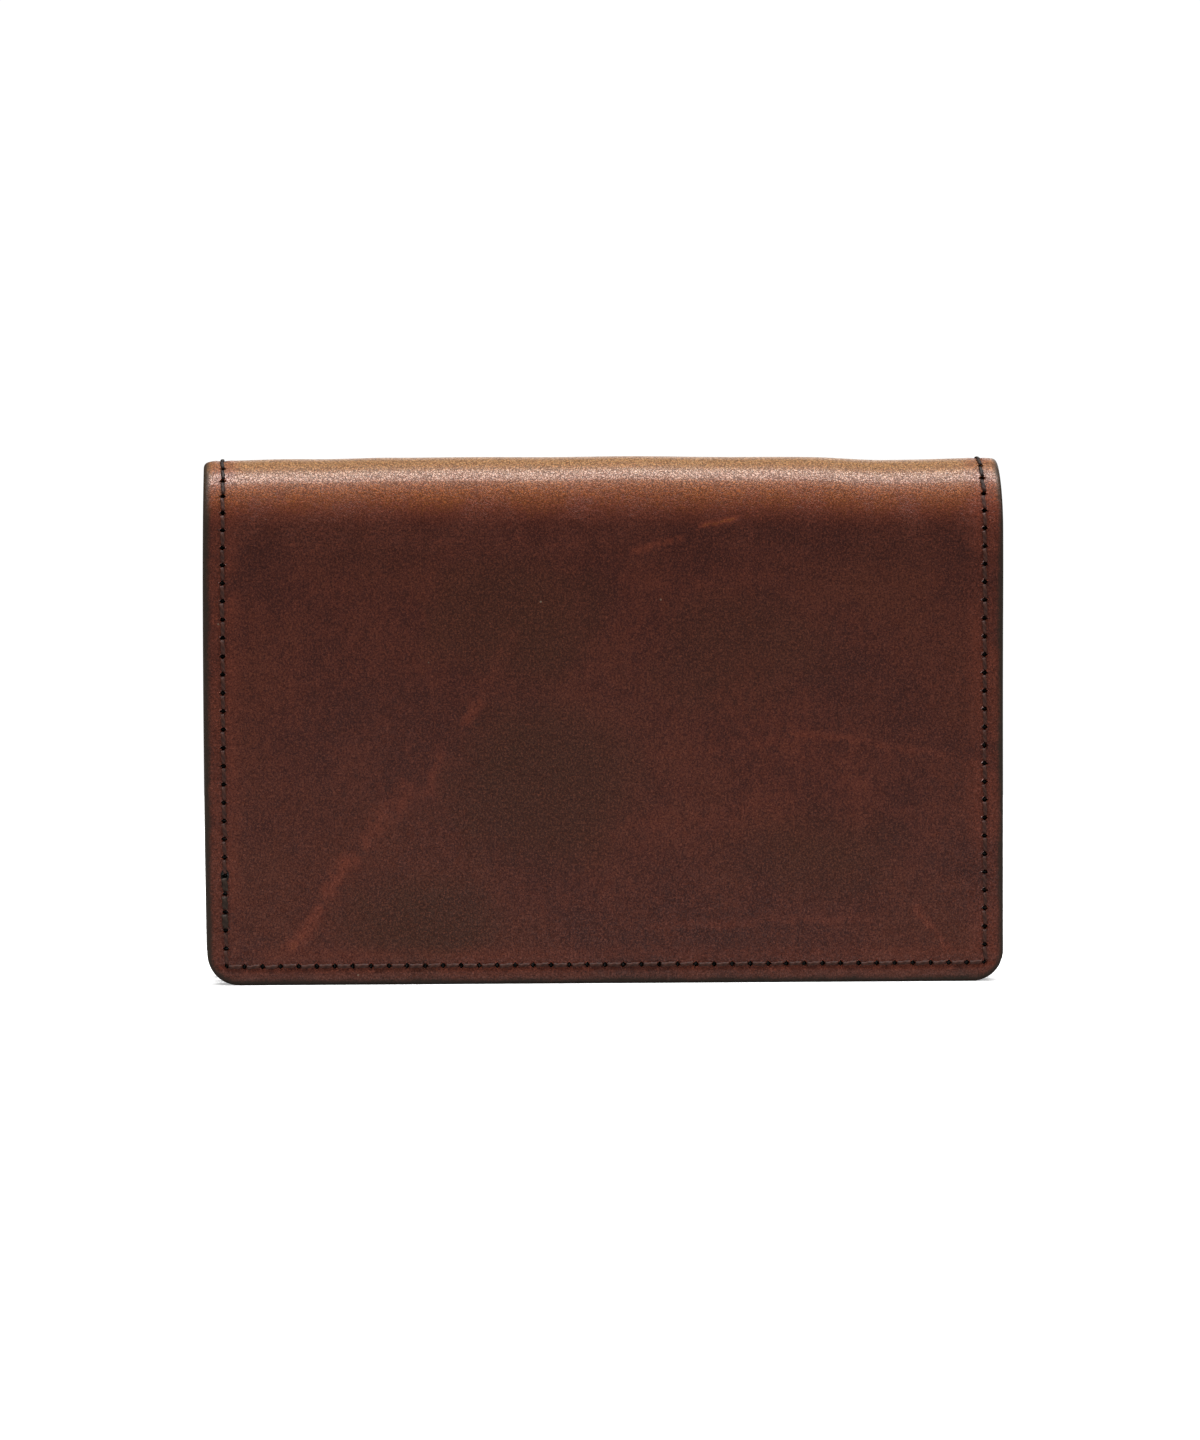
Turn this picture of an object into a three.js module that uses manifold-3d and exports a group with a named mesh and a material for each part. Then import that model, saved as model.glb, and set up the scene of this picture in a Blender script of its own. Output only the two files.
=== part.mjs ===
// A bifold business card case in leather, closed and standing on its open edges.
// Millimetres. +X runs along the fold, the front cover faces -Y and +Z is up.
// The origin is on the ground, under the middle of the case.
//
// Each half is a glued stack: cover leather, interlining, lining, then its pockets.
// The stack runs over the top as a rounded spine. The hide bends there as a whole, so
// it is cut into three slats between four hinge lines, and they turn together.
// The back half holds the card compartment: a pleated gusset runs down one side, along
// the bottom and up the other, and carries the compartment's front wall.
// The front half holds two slip pockets. One lockstitched seam runs round the edge.

import * as THREE from "three";
import { mergeVertices } from "three/addons/utils/BufferGeometryUtils.js";
import Module from "manifold-3d";

// ---- Driving dimensions -------------------------------------------------------------

const caseWidth = 114;
const caseHeight = 75;
const caseThickness = 16;
const foldRise = 10; // height of the rounded spine above the flat covers
const cornerRadius = 4.5;
const cornerSteps = 8;

const coverLeather = 1.3;
const interliningBoard = 0.4;
const liningLeather = 0.8;
const pocketLeather = 0.8;
const wallLeather = 1.0;
const gussetLeather = 0.7;

const glueLine = 0.05; // gap left between glued layers
const slipGap = 0.3; // room behind each slip pocket's panel
const closedGap = 2.0; // air between the two halves when the case is shut
const hingeGap = 0.1; // cut between neighbouring slats of the spine

const wallDrop = 7; // from the start of the fold down to the compartment wall's top
const tallSlipDrop = 8;
const shortSlipDrop = 19;
const scoopWidth = 23; // thumb scoop in a pocket's top edge
const scoopDepth = 6;

const flangeWidth = 3.8; // flat border of the gusset under the seam
const pleatDepth = 3.2; // how far the gusset's pleat folds inwards

const seamInset = 2.7; // seam line to leather edge
const threadWidth = 0.5;
const threadDepth = 0.4;
const grooveClearance = 0.1;
const threadEndGap = 0.15; // from a thread's end to the end of its stretch

// ---- Derived places -----------------------------------------------------------------

const halfWidth = caseWidth / 2;
const halfDepth = caseThickness / 2;
const foldBase = caseHeight - foldRise;
const wallHeight = foldBase - wallDrop;

// Depth of each layer of the stack below the outer skin.
const interliningInset = coverLeather + glueLine;
const liningInset = interliningInset + interliningBoard + glueLine;
const stackDepth = liningInset + liningLeather;

const tallSlipFace = -halfDepth + stackDepth + slipGap; // side towards the front cover
const shortSlipFace = tallSlipFace + pocketLeather + slipGap;
const frontHalfFace = shortSlipFace + pocketLeather;
const wallFront = frontHalfFace + closedGap;
const wallBack = wallFront + wallLeather;
const gussetFront = wallBack + glueLine;
const gussetBack = halfDepth - stackDepth - glueLine;

const seamX = halfWidth - seamInset;
const grooveWidth = threadWidth + 2 * grooveClearance;
const grooveDepth = threadDepth + grooveClearance;

// ---- Solids -------------------------------------------------------------------------

const wasm = await Module();
wasm.setup();

// A closed three.js geometry as a manifold-3d solid.
function solidOf(geometry) {
  const bare = geometry.index ? geometry.toNonIndexed() : geometry.clone();
  bare.deleteAttribute("normal");
  bare.deleteAttribute("uv");
  const merged = mergeVertices(bare);
  return new wasm.Manifold(
    new wasm.Mesh({
      numProp: 3,
      vertProperties: merged.attributes.position.array,
      triVerts: new Uint32Array(merged.index.array),
    }),
  );
}

// A manifold-3d solid as a three.js geometry.
function geometryOf(solid) {
  const mesh = solid.getMesh();
  const position = new THREE.BufferAttribute(new Float32Array(mesh.vertProperties), 3);
  const geometry = new THREE.BufferGeometry();
  geometry.setAttribute("position", position);
  geometry.setIndex(new THREE.BufferAttribute(new Uint32Array(mesh.triVerts), 1));
  geometry.computeVertexNormals();
  return geometry;
}

const axisX = new THREE.Vector3(1, 0, 0);
const axisY = new THREE.Vector3(0, 1, 0);
const axisZ = new THREE.Vector3(0, 0, 1);

// An outline extruded from one end to the other along an axis. The basis says which
// way the outline's own x and y point, and which way it is extruded.
function extruded(points, depth, basis, place) {
  const outline = new THREE.Shape(points.map(([u, v]) => new THREE.Vector2(u, v)));
  const geometry = new THREE.ExtrudeGeometry(outline, { depth, bevelEnabled: false });
  geometry.applyMatrix4(new THREE.Matrix4().makeBasis(...basis));
  geometry.translate(place.x, place.y, place.z);
  return solidOf(geometry);
}

// Outlines in (y, z), extruded along X.
function alongX(points, from, to) {
  return extruded(points, to - from, [axisY, axisZ, axisX], new THREE.Vector3(from, 0, 0));
}

// Outlines in (x, z), extruded along Y.
function alongY(points, from, to) {
  const basis = [axisX, axisZ, axisY.clone().negate()];
  return extruded(points, to - from, basis, new THREE.Vector3(0, to, 0));
}

// Outlines in (x, y), extruded along Z.
function alongZ(points, from, to) {
  return extruded(points, to - from, [axisX, axisY, axisZ], new THREE.Vector3(0, 0, from));
}

function block(xFrom, xTo, yFrom, yTo, zFrom, zTo) {
  const geometry = new THREE.BoxGeometry(xTo - xFrom, yTo - yFrom, zTo - zFrom);
  geometry.translate((xFrom + xTo) / 2, (yFrom + yTo) / 2, (zFrom + zTo) / 2);
  return solidOf(geometry);
}

// The outline that every layer is trimmed to: square at the top, with rounded corners
// at the open edge.
function caseOutline() {
  const points = [
    [halfWidth, caseHeight],
    [-halfWidth, caseHeight],
  ];
  for (const side of [-1, 1]) {
    for (let step = 0; step <= cornerSteps; step++) {
      const turn = ((step / cornerSteps) * Math.PI) / 2;
      const angle = side < 0 ? Math.PI + turn : Math.PI * 1.5 + turn;
      points.push([
        side * (halfWidth - cornerRadius) + cornerRadius * Math.cos(angle),
        cornerRadius + cornerRadius * Math.sin(angle),
      ]);
    }
  }
  return points;
}

const trim = alongY(caseOutline(), -caseThickness, caseThickness);

// ---- The fold -----------------------------------------------------------------------

// The outer skin's section over the top, from the back cover to the front one.
const skin = new THREE.EllipseCurve(0, foldBase, halfDepth, foldRise, 0, Math.PI);
skin.arcLengthDivisions = 2000;
const skinLength = skin.getLength();

// A point of that section, sunk below the skin, at a share of the skin's length.
function foldPoint(share, inset) {
  const angle = Math.PI * skin.getUtoTmapping(share);
  const outward = new THREE.Vector2(
    Math.cos(angle) / halfDepth,
    Math.sin(angle) / foldRise,
  ).normalize();
  const y = halfDepth * Math.cos(angle) - inset * outward.x;
  const z = foldBase + foldRise * Math.sin(angle) - inset * outward.y;
  return [y, z];
}

const hingeShares = [1 / 8, 3 / 8, 5 / 8, 7 / 8];
const halfCut = hingeGap / 2 / skinLength;
const foldSteps = 6;

// The five stretches of the stack, from back to front. A stretch with a flat side
// carries on down that side to the open edge.
const stretches = {
  back: { from: 0, to: hingeShares[0] - halfCut, flat: "back" },
  rear: { from: hingeShares[0] + halfCut, to: hingeShares[1] - halfCut },
  top: { from: hingeShares[1] + halfCut, to: hingeShares[2] - halfCut },
  fore: { from: hingeShares[2] + halfCut, to: hingeShares[3] - halfCut },
  front: { from: hingeShares[3] + halfCut, to: 1, flat: "front" },
};

// One face of a layer in section, from back to front.
function faceOf(stretch, inset, lowest) {
  const points = [];
  for (let step = 0; step <= foldSteps; step++) {
    const share = stretch.from + ((stretch.to - stretch.from) * step) / foldSteps;
    points.push(foldPoint(share, inset));
  }
  if (stretch.flat === "back") points.unshift([halfDepth - inset, lowest]);
  if (stretch.flat === "front") points.push([-halfDepth + inset, lowest]);
  return points;
}

// A layer's section: its outer face, then its inner face back again.
function layerSection(stretch, inset, thickness, lowest = 0) {
  return [
    ...faceOf(stretch, inset, lowest),
    ...faceOf(stretch, inset + thickness, lowest).reverse(),
  ];
}

// A layer of the stack, trimmed to the case's outline.
function layer(stretch, inset, thickness) {
  const sheet = alongX(layerSection(stretch, inset, thickness), -halfWidth, halfWidth);
  return stretch.flat ? sheet.intersect(trim) : sheet;
}

// The seam's run down one side of a stretch. The same shape, wider and deeper, is its groove.
function seamSide(stretch, side, width, inset, depth) {
  const lowest = seamInset - width / 2;
  const middle = side * seamX;
  const section = layerSection(stretch, inset, depth, lowest);
  return alongX(section, middle - width / 2, middle + width / 2);
}

// The seam down both sides of a cover and along its open edge.
function coverSeam(stretch, width, inset, depth) {
  const face = stretch.flat === "back" ? halfDepth - inset : -halfDepth + inset;
  const inner = stretch.flat === "back" ? face - depth : face + depth;
  const foot = block(
    -seamX - width / 2,
    seamX + width / 2,
    Math.min(face, inner),
    Math.max(face, inner),
    seamInset - width / 2,
    seamInset + width / 2,
  );
  return foot
    .add(seamSide(stretch, -1, width, inset, depth))
    .add(seamSide(stretch, 1, width, inset, depth));
}

const grooveOverrun = 1; // how far a groove's cutter stands out of the skin
const threadInset = grooveClearance / 2;

function coverPanel(stretch) {
  const groove = coverSeam(stretch, grooveWidth, -grooveOverrun, grooveOverrun + grooveDepth);
  return layer(stretch, 0, coverLeather).subtract(groove);
}

// A thread stops a little short of the cuts at the ends of its stretch.
function threadStretch(stretch) {
  const gap = threadEndGap / skinLength;
  const from = stretch.flat === "back" ? stretch.from : stretch.from + gap;
  const to = stretch.flat === "front" ? stretch.to : stretch.to - gap;
  return { ...stretch, from, to };
}

function coverThread(stretch) {
  const run = threadStretch(stretch);
  return coverSeam(run, threadWidth, threadInset, threadDepth - threadInset);
}

function spinePanel(stretch) {
  let panel = layer(stretch, 0, coverLeather);
  for (const side of [-1, 1]) {
    const cutter = seamSide(
      stretch,
      side,
      grooveWidth,
      -grooveOverrun,
      grooveOverrun + grooveDepth,
    );
    panel = panel.subtract(cutter);
  }
  return panel;
}

function spineThread(stretch, side) {
  const run = threadStretch(stretch);
  return seamSide(run, side, threadWidth, threadInset, threadDepth - threadInset);
}

function interlining(stretch) {
  return layer(stretch, interliningInset, interliningBoard);
}

function lining(stretch) {
  return layer(stretch, liningInset, liningLeather);
}

// ---- Pockets ------------------------------------------------------------------------

// A flat panel with rounded lower corners, standing between two depths. A scoop is a
// shallow arc cut from the middle of the top edge.
function pocketPanel(height, yFrom, yTo, scooped) {
  const panel = block(-halfWidth, halfWidth, yFrom, yTo, 0, height).intersect(trim);
  if (!scooped) return panel;
  const radius = (scoopWidth ** 2 / 4 + scoopDepth ** 2) / (2 * scoopDepth);
  const sweep = Math.asin(scoopWidth / 2 / radius);
  const arcSteps = 16;
  const points = [];
  for (let step = 0; step <= arcSteps; step++) {
    const angle = -sweep + (2 * sweep * step) / arcSteps;
    points.push([
      radius * Math.sin(angle),
      height - scoopDepth + radius * (1 - Math.cos(angle)),
    ]);
  }
  points.push([scoopWidth / 2, height + scoopDepth], [-scoopWidth / 2, height + scoopDepth]);
  return panel.subtract(alongY(points, yFrom - 1, yTo + 1));
}

// The seam round the compartment wall: both sides up to the top, and the foot.
function wallSeam(width, yFrom, yTo, top) {
  const foot = seamInset - width / 2;
  const reach = seamX + width / 2;
  let seam = block(-reach, reach, yFrom, yTo, foot, foot + width);
  for (const side of [-1, 1]) {
    const middle = side * seamX;
    seam = seam.add(block(middle - width / 2, middle + width / 2, yFrom, yTo, foot, top));
  }
  return seam;
}

function compartmentWall() {
  const groove = wallSeam(
    grooveWidth,
    wallFront - grooveOverrun,
    wallFront + grooveDepth,
    wallHeight + 1,
  );
  return pocketPanel(wallHeight, wallFront, wallBack, true).subtract(groove);
}

function compartmentWallThread() {
  return wallSeam(
    threadWidth,
    wallFront + threadInset,
    wallFront + threadDepth,
    wallHeight - threadWidth,
  );
}

// The gusset's section, as distance in from the edge and depth. Two flat flanges lie
// against the lining and the wall, and the pleat between them points into the compartment.
function gussetSection() {
  const middle = (gussetFront + gussetBack) / 2;
  const valley = (gussetBack - gussetFront) / 2 - gussetLeather;
  const armLength = Math.hypot(pleatDepth, valley);
  const thickAcross = (gussetLeather * armLength) / valley;
  const crest = flangeWidth + pleatDepth + thickAcross;
  const bend = crest - (pleatDepth / valley) * (valley + gussetLeather);
  return [
    [0, gussetBack],
    [bend, gussetBack],
    [crest, middle],
    [bend, gussetFront],
    [0, gussetFront],
    [0, gussetFront + gussetLeather],
    [flangeWidth, gussetFront + gussetLeather],
    [flangeWidth + pleatDepth, middle],
    [flangeWidth, gussetBack - gussetLeather],
    [0, gussetBack - gussetLeather],
  ];
}

// One strip that runs down the left side, along the bottom and up the right side, with
// mitred corners.
function gusset() {
  const section = gussetSection();
  const depthReach = caseThickness;
  const mitre = wallHeight / 2; // the mitres are cut well past the strip's own width
  const footCutter = alongY(
    [
      [-halfWidth - 1, -1],
      [halfWidth + 1, -1],
      [halfWidth - mitre, mitre],
      [-halfWidth + mitre, mitre],
    ],
    -depthReach,
    depthReach,
  );
  let strip = alongX(
    section.map(([inward, y]) => [y, inward]),
    -halfWidth,
    halfWidth,
  ).intersect(footCutter);
  for (const side of [-1, 1]) {
    const sideCutter = alongY(
      [
        [side * (halfWidth + 1), -1],
        [side * (halfWidth - mitre), mitre],
        [side * (halfWidth - mitre), wallHeight],
        [side * (halfWidth + 1), wallHeight],
      ],
      -depthReach,
      depthReach,
    );
    const upright = alongZ(
      section.map(([inward, y]) => [side * (halfWidth - inward), y]),
      0,
      wallHeight,
    );
    strip = strip.add(upright.intersect(sideCutter));
  }
  return strip.intersect(trim);
}

// ---- Materials ----------------------------------------------------------------------

const looks = {
  cover: new THREE.MeshStandardMaterial({ color: 0x4a2a24, roughness: 0.45, metalness: 0 }),
  lining: new THREE.MeshStandardMaterial({ color: 0x5a3726, roughness: 0.6, metalness: 0 }),
  pocket: new THREE.MeshStandardMaterial({ color: 0x4f2d24, roughness: 0.5, metalness: 0 }),
  board: new THREE.MeshStandardMaterial({ color: 0x8a7a66, roughness: 0.9, metalness: 0 }),
  thread: new THREE.MeshStandardMaterial({ color: 0x3a2820, roughness: 0.7, metalness: 0 }),
};

function piece(name, solid, look) {
  const mesh = new THREE.Mesh(geometryOf(solid), look.clone());
  mesh.name = name;
  return mesh;
}

// ---- Assembly -----------------------------------------------------------------------

function backHalf() {
  const group = new THREE.Group();
  group.add(
    piece("back_cover", coverPanel(stretches.back), looks.cover),
    piece("back_interlining", interlining(stretches.back), looks.board),
    piece("back_lining", lining(stretches.back), looks.lining),
    piece("back_seam_thread", coverThread(stretches.back), looks.thread),
    piece("gusset", gusset(), looks.lining),
  );
  return group;
}

function spineSlat(place) {
  const stretch = stretches[place];
  const group = new THREE.Group();
  group.add(
    piece(`spine_leather_${place}`, spinePanel(stretch), looks.cover),
    piece(`spine_interlining_${place}`, interlining(stretch), looks.board),
    piece(`spine_lining_${place}`, lining(stretch), looks.lining),
    piece(`spine_thread_${place}_left`, spineThread(stretch, -1), looks.thread),
    piece(`spine_thread_${place}_right`, spineThread(stretch, 1), looks.thread),
  );
  return group;
}

function frontHalf() {
  const tallSlip = pocketPanel(
    foldBase - tallSlipDrop,
    tallSlipFace,
    tallSlipFace + pocketLeather,
    false,
  );
  const shortSlip = pocketPanel(
    foldBase - shortSlipDrop,
    shortSlipFace,
    shortSlipFace + pocketLeather,
    true,
  );
  const group = new THREE.Group();
  group.add(
    piece("front_cover", coverPanel(stretches.front), looks.cover),
    piece("front_interlining", interlining(stretches.front), looks.board),
    piece("front_lining", lining(stretches.front), looks.lining),
    piece("front_seam_thread", coverThread(stretches.front), looks.thread),
    piece("tall_slip_pocket", tallSlip, looks.pocket),
    piece("short_slip_pocket", shortSlip, looks.pocket),
  );
  return group;
}

function compartmentFront() {
  const group = new THREE.Group();
  group.add(
    piece("compartment_wall", compartmentWall(), looks.pocket),
    piece("compartment_wall_thread", compartmentWallThread(), looks.thread),
  );
  return group;
}

const cardCase = new THREE.Group();
cardCase.add(
  backHalf(),
  spineSlat("rear"),
  spineSlat("top"),
  spineSlat("fore"),
  frontHalf(),
  compartmentFront(),
);

export default cardCase;
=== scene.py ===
"""A bifold leather card case, cut and sewn flat and then folded over a former.

Every folded layer is made flat first. On the bench, X is the way along the hide from the
front foot over the fold to the back foot, Y is the case's width seen from below, and Z is
height above the outer skin. Panels of the front half use the same bench.
"""

import math

import bpy
import numpy as np
from bpy.props import FloatProperty, FloatVectorProperty, IntProperty, PointerProperty
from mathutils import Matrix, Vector


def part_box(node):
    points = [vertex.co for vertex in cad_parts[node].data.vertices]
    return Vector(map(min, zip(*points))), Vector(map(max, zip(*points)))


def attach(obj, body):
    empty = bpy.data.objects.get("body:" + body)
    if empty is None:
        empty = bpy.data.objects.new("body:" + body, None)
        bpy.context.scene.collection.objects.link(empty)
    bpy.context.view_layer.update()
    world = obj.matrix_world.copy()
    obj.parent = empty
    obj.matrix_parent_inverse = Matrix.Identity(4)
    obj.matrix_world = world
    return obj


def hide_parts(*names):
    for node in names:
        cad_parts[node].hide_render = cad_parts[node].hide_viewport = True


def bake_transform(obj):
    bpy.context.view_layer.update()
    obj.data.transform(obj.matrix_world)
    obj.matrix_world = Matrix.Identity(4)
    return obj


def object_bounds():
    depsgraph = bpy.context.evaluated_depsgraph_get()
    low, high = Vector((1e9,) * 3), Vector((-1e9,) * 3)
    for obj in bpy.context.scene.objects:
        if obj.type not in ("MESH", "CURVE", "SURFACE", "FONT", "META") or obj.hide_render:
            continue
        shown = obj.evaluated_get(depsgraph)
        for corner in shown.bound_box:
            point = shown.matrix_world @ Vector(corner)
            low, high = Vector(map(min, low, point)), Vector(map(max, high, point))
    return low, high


bl_info = {
    "name": "Leather card case",
    "version": (1, 0, 0),
    "blender": (4, 5, 0),
    "location": "3D View > Sidebar > Card case",
    "description": "Builds a sewn bifold card case around its packed frame",
    "category": "Object",
}

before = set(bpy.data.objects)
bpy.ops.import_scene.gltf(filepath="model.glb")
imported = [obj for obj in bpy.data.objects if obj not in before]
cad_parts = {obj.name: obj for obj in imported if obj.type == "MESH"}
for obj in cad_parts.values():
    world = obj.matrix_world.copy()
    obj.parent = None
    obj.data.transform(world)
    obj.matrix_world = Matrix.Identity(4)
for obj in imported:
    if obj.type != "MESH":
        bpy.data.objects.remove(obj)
CAD_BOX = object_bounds()

MM = 0.001
WIDTH = CAD_BOX[1].x - CAD_BOX[0].x
HEIGHT = CAD_BOX[1].z - CAD_BOX[0].z
HALF_DEPTH = (CAD_BOX[1].y - CAD_BOX[0].y) / 2

GLUE = 0.05 * MM
# Grid lines just inside an edge, and on both sides of the line of stitches.
MARGIN_LINES = (0, 0.95 * MM, 1.7 * MM)
SHOULDER = 0.64 * MM
# A hole isn't punched nearer than this to the end of a stretch.
HOLE_CLEAR = 0.3 * MM
# The edge seam's thread lies this far below the leather's face.
THREAD_SUNK = 0.05 * MM
# Flat work counts as lying at a level when it is this close to it.
LEVEL_REACH = 0.3 * MM
TOUCH = 1e-6
# The doubled stitches run from the first of these holes to the second.
TACK_FIRST, TACK_LAST = 2, 5


# ---- Sizes and colours -----------------------------------------------------------------


def length(name, description, default):
    return FloatProperty(
        name=name,
        description=description,
        default=default,
        min=0.0,
        precision=5,
        subtype="DISTANCE",
        unit="LENGTH",
    )


def count(name, description, default):
    return IntProperty(name=name, description=description, default=default, min=1)


def colour(name, description, default):
    return FloatVectorProperty(
        name=name,
        description=description,
        default=default,
        size=3,
        min=0.0,
        max=1.0,
        subtype="COLOR",
    )


class CaseSizes(bpy.types.PropertyGroup):
    fold_rise: length("Fold rise", "Height of the rounded fold above the covers", 10 * MM)
    corner: length("Corner radius", "Radius of the corners at the open edge", 4.5 * MM)
    inset: length("Seam inset", "From the edge to the line of stitches", 2.7 * MM)
    side_stitches: count("Side stitches", "Stitches from one foot over to the other", 59)
    foot_stitches: count("Foot stitches", "Stitches along each open edge", 42)
    thread: length("Thread", "Thickness of the waxed thread", 0.56 * MM)
    hole: length("Awl hole", "Half the diagonal of a stitch hole", 0.60 * MM)
    groove: length("Seam dip", "How far the seam pulls the leather down", 0.13 * MM)
    cover: length("Cover leather", "Thickness of the outer hide", 1.3 * MM)
    board: length("Interlining", "Thickness of the board between the leathers", 0.4 * MM)
    lining: length("Lining leather", "Thickness of the lining", 0.8 * MM)
    pocket: length("Pocket leather", "Thickness of a slip pocket", 0.8 * MM)
    wall: length("Compartment leather", "Thickness of the compartment's wall", 1.0 * MM)
    gusset: length("Gusset leather", "Thickness of the gusset", 0.7 * MM)
    rim: length("Burnished rim", "Rounding of the cover's edge", 0.5 * MM)
    scoop_width: length("Scoop width", "Width of a thumb scoop", 23 * MM)
    scoop_depth: length("Scoop depth", "Depth of a thumb scoop", 6 * MM)


class CaseColours(bpy.types.PropertyGroup):
    cover_dark: colour("Cover, dark", "Cool dark brown", (0.090, 0.0258, 0.0195))
    cover_red: colour("Cover, red", "Where the wax has moved", (0.182, 0.046, 0.027))
    cover_olive: colour("Cover, olive", "Olive brown patches", (0.080, 0.032, 0.018))
    pull_up: colour("Pull-up", "Where the hide is bent", (0.37, 0.114, 0.027))
    crest: colour("Crest", "Worn tan along the fold's top", (0.44, 0.254, 0.106))
    edge: colour("Burnished edge", "Dark edge of the leather", (0.040, 0.031, 0.023))
    lining_dark: colour("Lining, dark", "Darker lining", (0.070, 0.030, 0.019))
    lining_light: colour("Lining, light", "Lighter lining", (0.125, 0.056, 0.032))
    board: colour("Interlining", "Colour of the board", (0.21, 0.16, 0.11))
    # The thread's two colours are painted shade in its twist's hollows and painted
    # highlight on its crests.
    thread_hollow_shade: colour("Thread, dark", "Hollows of its twist", (0.046, 0.019, 0.014))
    thread_crest_highlight: colour("Thread, light", "Crests of its twist", (0.125, 0.045, 0.030))


def sizes():
    return bpy.context.scene.card_case_sizes


def colours():
    return bpy.context.scene.card_case_colours


# ---- The hide's flat measure -----------------------------------------------------------


class Hide:
    """The hide's length, where it folds, and where its stitches fall."""

    def __init__(self):
        s = sizes()
        self.base = HEIGHT - s.fold_rise
        turn = np.linspace(0, math.pi, 4001)
        arc_y = -HALF_DEPTH * np.cos(turn)
        arc_z = self.base + s.fold_rise * np.sin(turn)
        steps = np.hypot(np.diff(arc_y), np.diff(arc_z))
        self.walk = np.r_[0, np.cumsum(steps)]
        self.turn = turn
        self.bend = self.walk[-1]
        self.length = 2 * self.base + self.bend
        self.side_pitch = (self.length - 2 * s.inset) / s.side_stitches
        self.foot_pitch = (WIDTH - 2 * s.inset) / s.foot_stitches
        # The three cuts lie midway between the four hinge lines.
        self.cuts = [self.base + self.bend * k / 4 for k in (1, 2, 3)]

    def skin(self, along):
        """The outer skin's point, and its outward normal, at one place along the hide."""
        s = sizes()
        if along <= self.base:
            return Vector((0, -HALF_DEPTH, along)), Vector((0, -1, 0))
        if along >= self.base + self.bend:
            return Vector((0, HALF_DEPTH, self.length - along)), Vector((0, 1, 0))
        turn = float(np.interp(along - self.base, self.walk, self.turn))
        y, z = -HALF_DEPTH * math.cos(turn), s.fold_rise * math.sin(turn)
        normal = Vector((0, -math.cos(turn) / HALF_DEPTH, math.sin(turn) / s.fold_rise))
        return Vector((0, y, self.base + z)), normal.normalized()

    def side_holes(self):
        return sizes().inset + self.side_pitch * np.arange(sizes().side_stitches + 1)

    def foot_holes(self):
        half = WIDTH / 2 - sizes().inset
        return -half + self.foot_pitch * np.arange(sizes().foot_stitches + 1)


# ---- Working at the bench --------------------------------------------------------------


def put_down():
    """Leaves edit mode and lets go of everything."""
    if bpy.context.mode != "OBJECT":
        bpy.ops.object.mode_set(mode="OBJECT")
    bpy.ops.object.select_all(action="DESELECT")


def take(obj):
    put_down()
    bpy.context.view_layer.objects.active = obj
    obj.select_set(True)
    return obj


def points_of(obj):
    flat = np.zeros(len(obj.data.vertices) * 3, np.float32)
    obj.data.vertices.foreach_get("co", flat)
    return flat.reshape(-1, 3).astype(float)


def move_points(obj, points):
    obj.data.vertices.foreach_set("co", points.astype(np.float32).ravel())
    obj.data.update()


def edge_ends(obj):
    ends = np.zeros(len(obj.data.edges) * 2, np.int32)
    obj.data.edges.foreach_get("vertices", ends)
    return ends.reshape(-1, 2)


def face_centres(obj):
    flat = np.zeros(len(obj.data.polygons) * 3, np.float32)
    obj.data.polygons.foreach_get("center", flat)
    return flat.reshape(-1, 3).astype(float)


def pick(obj, verts=None, edges=None, faces=None):
    """Selects by masks and opens the mesh, with the matching select mode."""
    take(obj)
    mesh = obj.data
    groups = ((mesh.vertices, verts), (mesh.edges, edges), (mesh.polygons, faces))
    for group, mask in groups:
        chosen = np.zeros(len(group), bool) if mask is None else mask
        group.foreach_set("select", chosen)
    mode = (verts is not None, edges is not None, faces is not None)
    bpy.context.tool_settings.mesh_select_mode = mode
    bpy.ops.object.mode_set(mode="EDIT")


def pick_all(obj):
    pick(obj, faces=np.ones(len(obj.data.polygons), bool))


def close():
    bpy.ops.object.mode_set(mode="OBJECT")


def keep_fact(obj, name, values):
    """Stores one number, or three, for each of a mesh's points."""
    kind, field = ("FLOAT", "value") if values.ndim == 1 else ("FLOAT_VECTOR", "vector")
    fact = obj.data.attributes.new(name, kind, "POINT")
    fact.data.foreach_set(field, values.astype(np.float32).ravel())


def apply_modifier(obj, kind, **settings):
    take(obj)
    modifier = obj.modifiers.new(kind.lower(), kind)
    for key, value in settings.items():
        setattr(modifier, key, value)
    bpy.ops.object.modifier_apply(modifier=modifier.name)


def smooth(obj, degrees=40):
    take(obj)
    bpy.ops.object.shade_smooth_by_angle(angle=math.radians(degrees))


def ease(value):
    value = np.clip(value, 0, 1)
    return value * value * (3 - 2 * value)


def ruled(kept, marks, gap):
    """Sorted line places: all of the kept ones, and the marks that aren't close to one."""
    kept = np.unique(np.round(np.array(kept, float), 8))
    free = [m for m in marks if np.abs(kept - m).min() > gap]
    return np.sort(np.r_[kept, [m for m in free if kept.min() < m < kept.max()]])


def ruled_sheet(name, along, across):
    """A flat grid whose rows and columns are drawn to ruled lines."""
    put_down()
    bpy.ops.mesh.primitive_grid_add(
        x_subdivisions=len(along) - 1,
        y_subdivisions=len(across) - 1,
        size=1,
    )
    obj = bpy.context.object
    obj.name = obj.data.name = name
    points = points_of(obj)
    column = np.rint((points[:, 0] + 0.5) * (len(along) - 1)).astype(int)
    row = np.rint((points[:, 1] + 0.5) * (len(across) - 1)).astype(int)
    points[:, 0] = np.array(along)[column]
    points[:, 1] = np.array(across)[row]
    move_points(obj, points)
    return obj


# ---- Outline and seam ------------------------------------------------------------------


def foot_gap(along, hide):
    """How far a place along the hide is from the nearer foot."""
    return np.minimum(along, hide.length - along)


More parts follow.
